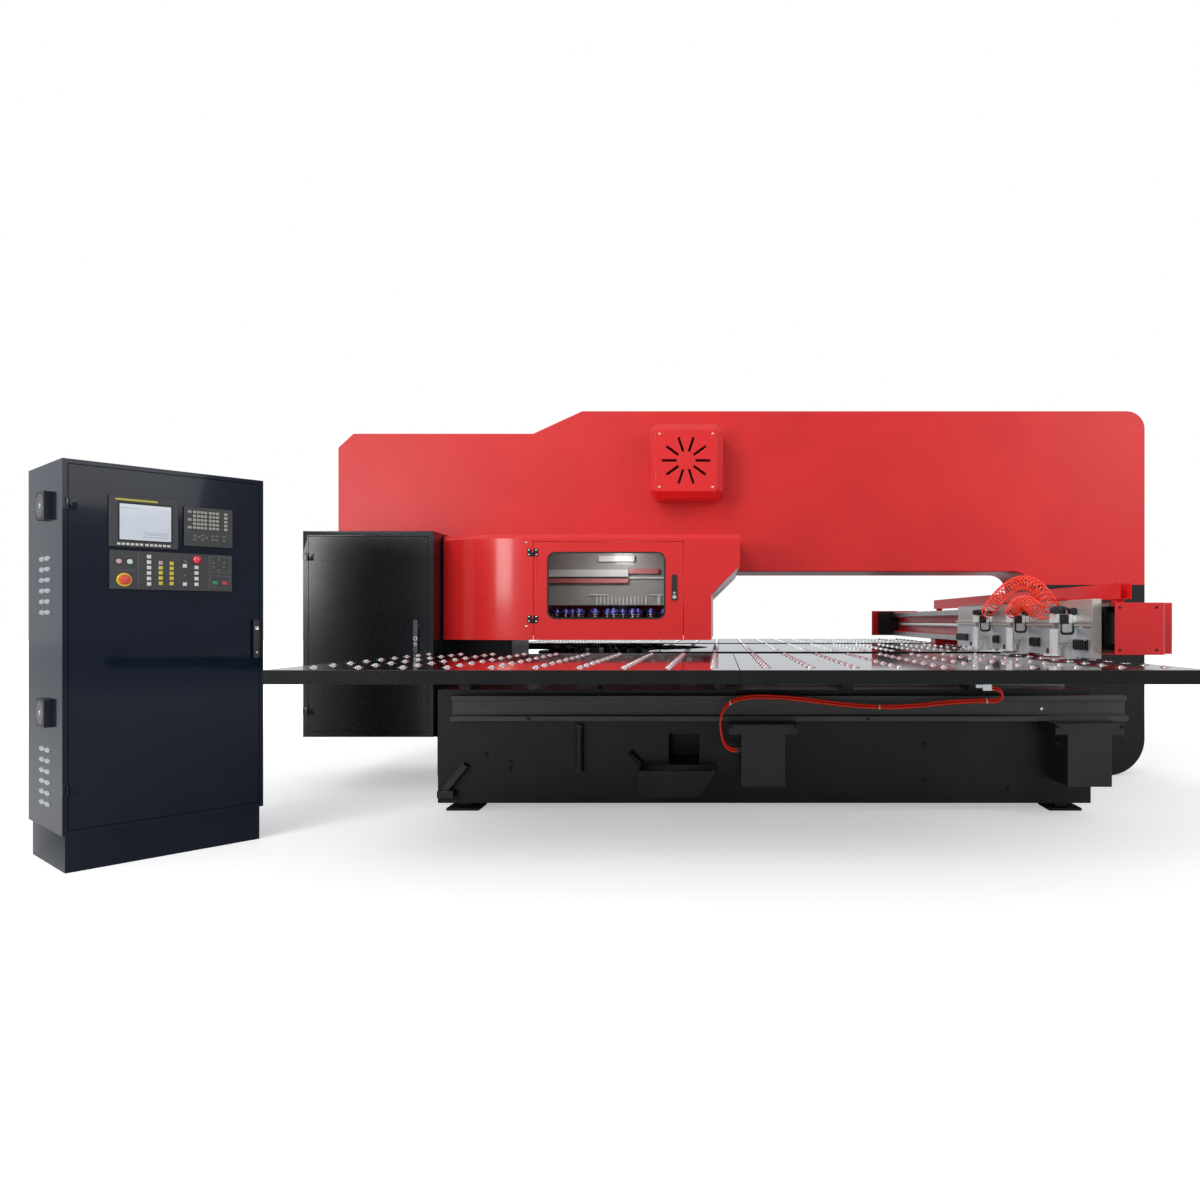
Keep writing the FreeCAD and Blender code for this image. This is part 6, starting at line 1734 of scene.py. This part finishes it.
@dataclass
class ControlCabinet:
    """The free-standing control cabinet, worked in its own axes: x along its front, y into its depth.

    Args:
        kit: places the pieces.
        corner: place of its front left corner.
        yaw: its turn about the vertical in degrees.
        width: its width.
        depth: its depth.
        proud: how far the units stand out of the door.
        display: the display unit.
        keyboard: the keyboard unit.
        operator: the operator panel.
        stop_place: x and height of the emergency stop.
        louvre_tops: height of each field of louvres.
        louvre_pitch: distance between rows of louvres.
        fan_heights: height of each fan's middle.
    """

    kit: Kit
    corner: Tuple[float, float] = (-2.725, -2.510)
    yaw: float = 50.0
    width: float = 0.765
    depth: float = 0.490
    proud: float = 0.012
    display: Unit = field(default_factory=lambda: Unit(0.155, 1.302, 0.254, 0.211))
    keyboard: Unit = field(default_factory=lambda: Unit(0.432, 1.321, 0.196, 0.170))
    operator: Unit = field(default_factory=lambda: Unit(0.157, 1.129, 0.468, 0.159))
    stop_place: Tuple[float, float] = (0.208, 1.167)
    louvre_tops: Tuple[float, float] = (1.275, 0.494)
    louvre_pitch: float = 0.044
    fan_heights: Tuple[float, float] = (1.467, 0.624)

    def build(self) -> None:
        """Dresses the cabinet and fills its panels."""
        self.kit.refine_all((("control_cabinet", NAVY_GLOSS, 0.0025, 2), ("control_door", NAVY_GLOSS, 0.0025, 2),
                             ("side_fan_covers", BLACK_PLASTIC, 0.001, 2)))
        for node in ("display_unit", "keyboard_unit", "operator_panel"):
            self.kit.refine(node, GREY_PLASTIC, 0.002)
        self._display()
        self._keyboard()
        self._operator()
        self._controls()
        self._handle()
        self._louvres()
        self._fan_grilles()

    @property
    def stand(self) -> Matrix:
        """From the cabinet's own axes to the machine's."""
        return (Matrix.Translation((self.corner[0], self.corner[1], 0.0))
                @ Matrix.Rotation(math.radians(self.yaw), 4, "Z"))

    def _spot(self, x: float, z: float) -> Place:
        """A place on the panels' face whose template points out of it."""
        spot = self.stand @ Vector((x, -self.proud, z))
        return tuple(spot), (math.pi / 2, 0.0, math.radians(self.yaw))

    def _add(self, shape: Shape, name: str, surface: Finish, body: str, slot: str, bevel: float = 0.0,
             stands_for: Iterable[str] = ()) -> None:
        """Adds a shape given in the cabinet's own axes."""
        self.kit.add(shape.moved(self.stand).made(name, surface, bevel), body, slot, stands_for)

    def _display(self) -> None:
        """The screen, its frame, the strip over it and the softkeys under it."""
        unit = self.display
        face = -self.proud - 0.0014
        screen = Shape().block((unit.left + 0.036, face + 0.0002, unit.bottom + 0.030),
                               (unit.right - 0.028, face + 0.0012, unit.top - 0.033))
        self._add(screen, "screen", SCREEN, "control_door", "display_unit")
        lines = Shape()
        for x_low, x_high, z in ((0.040, 0.120, 0.160), (0.120, 0.215, 0.062), (0.130, 0.215, 0.054),
                                 (0.120, 0.215, 0.044)):
            lines.block((unit.left + x_low, face, unit.bottom + z),
                        (unit.left + x_high, face + 0.0006, unit.bottom + z + 0.0016))
        self._add(lines, "screen_lines", SCREEN_LINES, "control_door", "display_unit")
        strip = Shape().block((unit.left + 0.022, face, unit.top - 0.020),
                              (unit.left + 0.175, face + 0.001, unit.top - 0.013))
        self._add(strip, "display_strip", STRIP_YELLOW, "control_door", "display_unit")
        outer, inner = ([(x, face, z) for x, z in (
            (unit.left + 0.030 + gap, unit.bottom + 0.024 + gap), (unit.right - 0.022 - gap, unit.bottom + 0.024 + gap),
            (unit.right - 0.022 - gap, unit.top - 0.027 - gap), (unit.left + 0.030 + gap, unit.top - 0.027 - gap))]
            for gap in (0.0, 0.0065))
        rim = Shape().frame(outer, inner, (0, 0.0015, 0))
        self._add(rim, "screen_rim", RUBBER, "control_door", "display_unit", 0.0004)
        keys = [self._spot(unit.left + 0.034 + 0.0163 * index + (0.004 if index > 5 else 0.0), unit.bottom + 0.0125)
                for index in range(12)]
        self._stamp_keys("softkeys", keys, (0.011, 0.009, 0.0022), KEY_WHITE, "display_unit")

    def _stamp_keys(self, name: str, places: Sequence[Place], size: Point, surface: Finish, slot: str) -> None:
        """Keys with rounded tops at many places.

        Args:
            name: the piece's name.
            places: where they stand.
            size: width, height and how far they stand out.
            surface: their finish.
            slot: the material slot.
        """
        width, height, out = size
        key = Shape()
        key.block((-width / 2, -height / 2, -0.0002), (width / 2, height / 2, out * 0.55))
        cap = bmesh.ops.create_cube(key.mesh, size=1.0)
        for vertex in cap["verts"]:
            inward = 0.84 if vertex.co.z > 0 else 1.0
            vertex.co = (vertex.co.x * width * inward, vertex.co.y * height * inward,
                         out * (1.0 if vertex.co.z > 0 else 0.55))
        self.kit.repeat(name, key, places, surface, "control_door", slot)

    def _keyboard(self) -> None:
        """The block of small keys and the arrow keys under it."""
        unit = self.keyboard
        columns = [0.040 + 0.0148 * index + (0.004 if index > 3 else 0.0) for index in range(7)]
        rows = [unit.height - 0.022 - 0.0168 * index for index in range(5)]
        small = [self._spot(unit.left + x, unit.bottom + z) for x in columns for z in rows]
        side = [self._spot(unit.left + 0.167, unit.bottom + z) for z in rows]
        edge = [self._spot(unit.left + 0.021, unit.bottom + z) for z in (rows[0], rows[2], rows[4])]
        self._stamp_keys("letter_keys", small, (0.0112, 0.0105, 0.0024), KEY_GREY, "keyboard_unit")
        self._stamp_keys("edit_keys", side + edge, (0.0135, 0.0105, 0.0024), KEY_GREY, "keyboard_unit")
        low = [(0.042, 0.046), (0.042, 0.030), (0.057, 0.040), (0.072, 0.049), (0.072, 0.030), (0.088, 0.040),
               (0.160, 0.048), (0.160, 0.032), (0.113, 0.048), (0.130, 0.048), (0.113, 0.032), (0.130, 0.032)]
        arrows = [self._spot(unit.left + x, unit.bottom + z) for x, z in low]
        self._stamp_keys("arrow_keys", arrows, (0.0115, 0.0085, 0.0022), KEY_DIM, "keyboard_unit")

    def _operator(self) -> None:
        """Key columns, lamps, divider lines and the ring of the emergency stop."""
        unit = self.operator
        face = -self.proud

        def spots(x: float, levels: Sequence[float]) -> List[Place]:
            """Places at one x and several heights."""
            return [self._spot(x, z) for z in levels]

        white = spots(0.298, [1.2665 - 0.0228 * index for index in range(6)])
        white += spots(0.434, [1.2345, 1.1560]) + spots(0.480, [1.2300, 1.2055, 1.1810, 1.1565])
        yellow = spots(0.342, [1.2220, 1.2010, 1.1790, 1.1570])
        yellow += spots(0.383, [1.2420, 1.2210, 1.2000, 1.1790, 1.1570])
        marks = [self._spot(x, z) for x, z in (
            (0.548, 1.253), (0.570, 1.268), (0.592, 1.253), (0.548, 1.236), (0.592, 1.236), (0.570, 1.221),
            (0.434, 1.2560), (0.434, 1.1930), (0.440, 1.2500))]
        square, wide, mark = (0.0155, 0.0150, 0.0026), (0.020, 0.0150, 0.0026), (0.0085, 0.0060, 0.0012)
        for name, places, size, surface in (
                ("white_keys", white, square, KEY_WHITE), ("yellow_keys", yellow, square, KEY_YELLOW),
                ("pink_keys", spots(0.342, [1.2430]), square, KEY_PINK),
                ("green_keys", spots(0.555, [1.1660]), wide, KEY_GREEN),
                ("red_keys", spots(0.594, [1.1660]), wide, KEY_RED), ("small_marks", marks, mark, KEY_DIM)):
            self._stamp_keys(name, places, size, surface, "operator_panel")
        lines = Shape()
        near, far, thin = face - 0.0003, face + 0.0005, 0.0009
        for x in (0.259, 0.530):
            lines.block((x, near, unit.bottom + 0.006), (x + thin, far, unit.top - 0.006))
        for x_low, x_high, z_low, z_high in ((0.537, 0.615, 1.2105, 1.2800), (0.537, 0.615, 1.1450, 1.1960)):
            for z in (z_low, z_high):
                lines.block((x_low, near, z), (x_high, far, z + thin))
            for x in (x_low, x_high):
                lines.block((x, near, z_low), (x + thin, far, z_high + thin))
        lines.block((0.176, near, 1.2065), (0.246, far, 1.2065 + thin))
        self._add(lines, "panel_lines", PANEL_LINES, "control_door", "operator_panel")
        x, z = self.stop_place
        ring = Shape().turned((x, face + 0.0004, z), FORWARD,
                              ((0.0, 0.0275), (0.0022, 0.0275), (0.0032, 0.0262), (0.0032, 0.0210),
                               (0.0022, 0.0200)), 40)
        self._add(ring, "stop_ring", STOP_YELLOW, "control_door", "operator_panel")

    def _controls(self) -> None:
        """The mushroom, the two round buttons and the red knob."""
        face = -self.proud
        x, z = self.stop_place
        stop = Shape().turned((x, face + 0.020, z), FORWARD,
                              ((0.0, 0.0078), (0.0285, 0.0078), (0.029, 0.0165), (0.031, 0.0192), (0.036, 0.0199),
                               (0.0405, 0.0185), (0.0430, 0.0150), (0.0438, 0.0090), (0.0440, 0.0030)), 36)
        self._add(stop, "stop_mushroom", STOP_RED, "emergency_stop", "emergency_stop",
                  stands_for=["emergency_stop"])
        for node, x, surface in (("cycle_start", 0.228, KEY_MINT), ("feed_hold", 0.189, KEY_PINK)):
            button = Shape().turned((x, face + 0.018, 1.242), FORWARD,
                                    ((0.0, 0.0108), (0.0215, 0.0108), (0.0235, 0.0100), (0.0240, 0.0085)), 32)
            self._add(button, node + "_cap", surface, node, node, stands_for=[node])
            collar = Shape().turned((x, face + 0.0004, 1.242), FORWARD,
                                    ((0.0, 0.0142), (0.0020, 0.0138), (0.0026, 0.0126), (0.0026, 0.0114),
                                     (0.0010, 0.0113)), 32)
            self._add(collar, node + "_collar", DARK_STEEL, "control_door", "operator_panel")
        knob = Shape().turned((0.481, face + 0.019, 1.262), FORWARD,
                              ((0.0, 0.0049), (0.0192, 0.0049), (0.0194, 0.0170), (0.0215, 0.0180), (0.028, 0.0180),
                               (0.0335, 0.0160), (0.0370, 0.0120), (0.0388, 0.0070), (0.0392, 0.0025)), 36)
        self._add(knob, "knob_cap", KNOB_RED, "mode_knob", "mode_knob", stands_for=["mode_knob"])

    def _handle(self) -> None:
        """The flush swing handle at the door's edge."""
        x, pivot = self.width - 0.038, 0.985
        outline = rounded_ring((x - 0.0125, pivot - 0.156), (x + 0.0125, pivot + 0.020), 0.008, -0.024)
        lever = Shape().prism(outline, (0, 0.0138, 0))
        lever.bar((x, -0.012, pivot), (x, 0.0075, pivot), 0.0068, 16)
        self._add(lever, "control_lever", BLACK_PLASTIC, "control_handle", "control_handle", 0.003,
                  ["control_handle"])
        lock = Shape().turned((x, -0.0238, pivot - 0.020), FORWARD,
                              ((0.0, 0.0085), (0.0008, 0.0085), (0.0010, 0.0065), (0.0004, 0.0055)), 24)
        lock.turned((x, -0.0238, pivot - 0.130), FORWARD, ((0.0, 0.0050), (0.0007, 0.0050), (0.0010, 0.0030)),
                    20)
        self._add(lock, "control_lock", BRIGHT, "control_handle", "control_handle")

    def _louvres(self) -> None:
        """Pressed hoods with oval mouths over the slots in the side."""
        facing = (math.pi / 2, 0.0, math.radians(self.yaw - 90.0))
        places = [(tuple(self.stand @ Vector((-0.0001, column * self.depth + 0.023,
                                              top - (row + 0.5) * self.louvre_pitch))), facing)
                  for top in self.louvre_tops for row in range(6) for column in (0.36, 0.52)]
        hood = Shape()
        hood.joined([[hood.mesh.verts.new(corner)
                      for corner in ellipse(Vector((0, 0, out)), Vector((wide, 0, 0)), Vector((0, tall, 0)), 28)]
                     for wide, tall, out in ((0.0350, 0.0110, 0.0), (0.0330, 0.0092, 0.0042),
                                             (0.0300, 0.0056, 0.0046), (0.0240, 0.00336, 0.0052))])
        self.kit.repeat("louvre_rims", hood, places, LOUVRE_EDGE, "machine", "control_cabinet")

    def _fan_grilles(self) -> None:
        """The finger guards on the side fan covers."""
        guard = Shape()
        y = 0.36 * self.depth + 0.045
        for z in self.fan_heights:
            for radius in (0.014, 0.024, 0.034, 0.044):
                outer, inner = (ellipse(Vector((-0.0232, y, z)), Vector((0, reach, 0)), Vector((0, 0, reach)), 36)
                                for reach in (radius + 0.0014, radius - 0.0014))
                guard.frame(outer, inner, (0.0014, 0, 0))
            guard.turned((-0.0218, y, z), (-1, 0, 0), ((0.0, 0.011), (0.0022, 0.010)), 24)
        self._add(guard, "fan_guards", BRIGHT, "machine", "side_fan_covers")


def main() -> None:
    """Builds the scene in order."""
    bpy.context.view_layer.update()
    Studio().build()
    kit = Kit(frame, Pattern())
    for part in (AirHoses, CurlyHoses, FrameAndVentilator, TurretHouse, FrameCabinet, Tables, Base, BeamAndDrives,
                 CarriageAndClamps, ControlCabinet):
        part(kit).build()


if __name__ == "__main__":
    main()
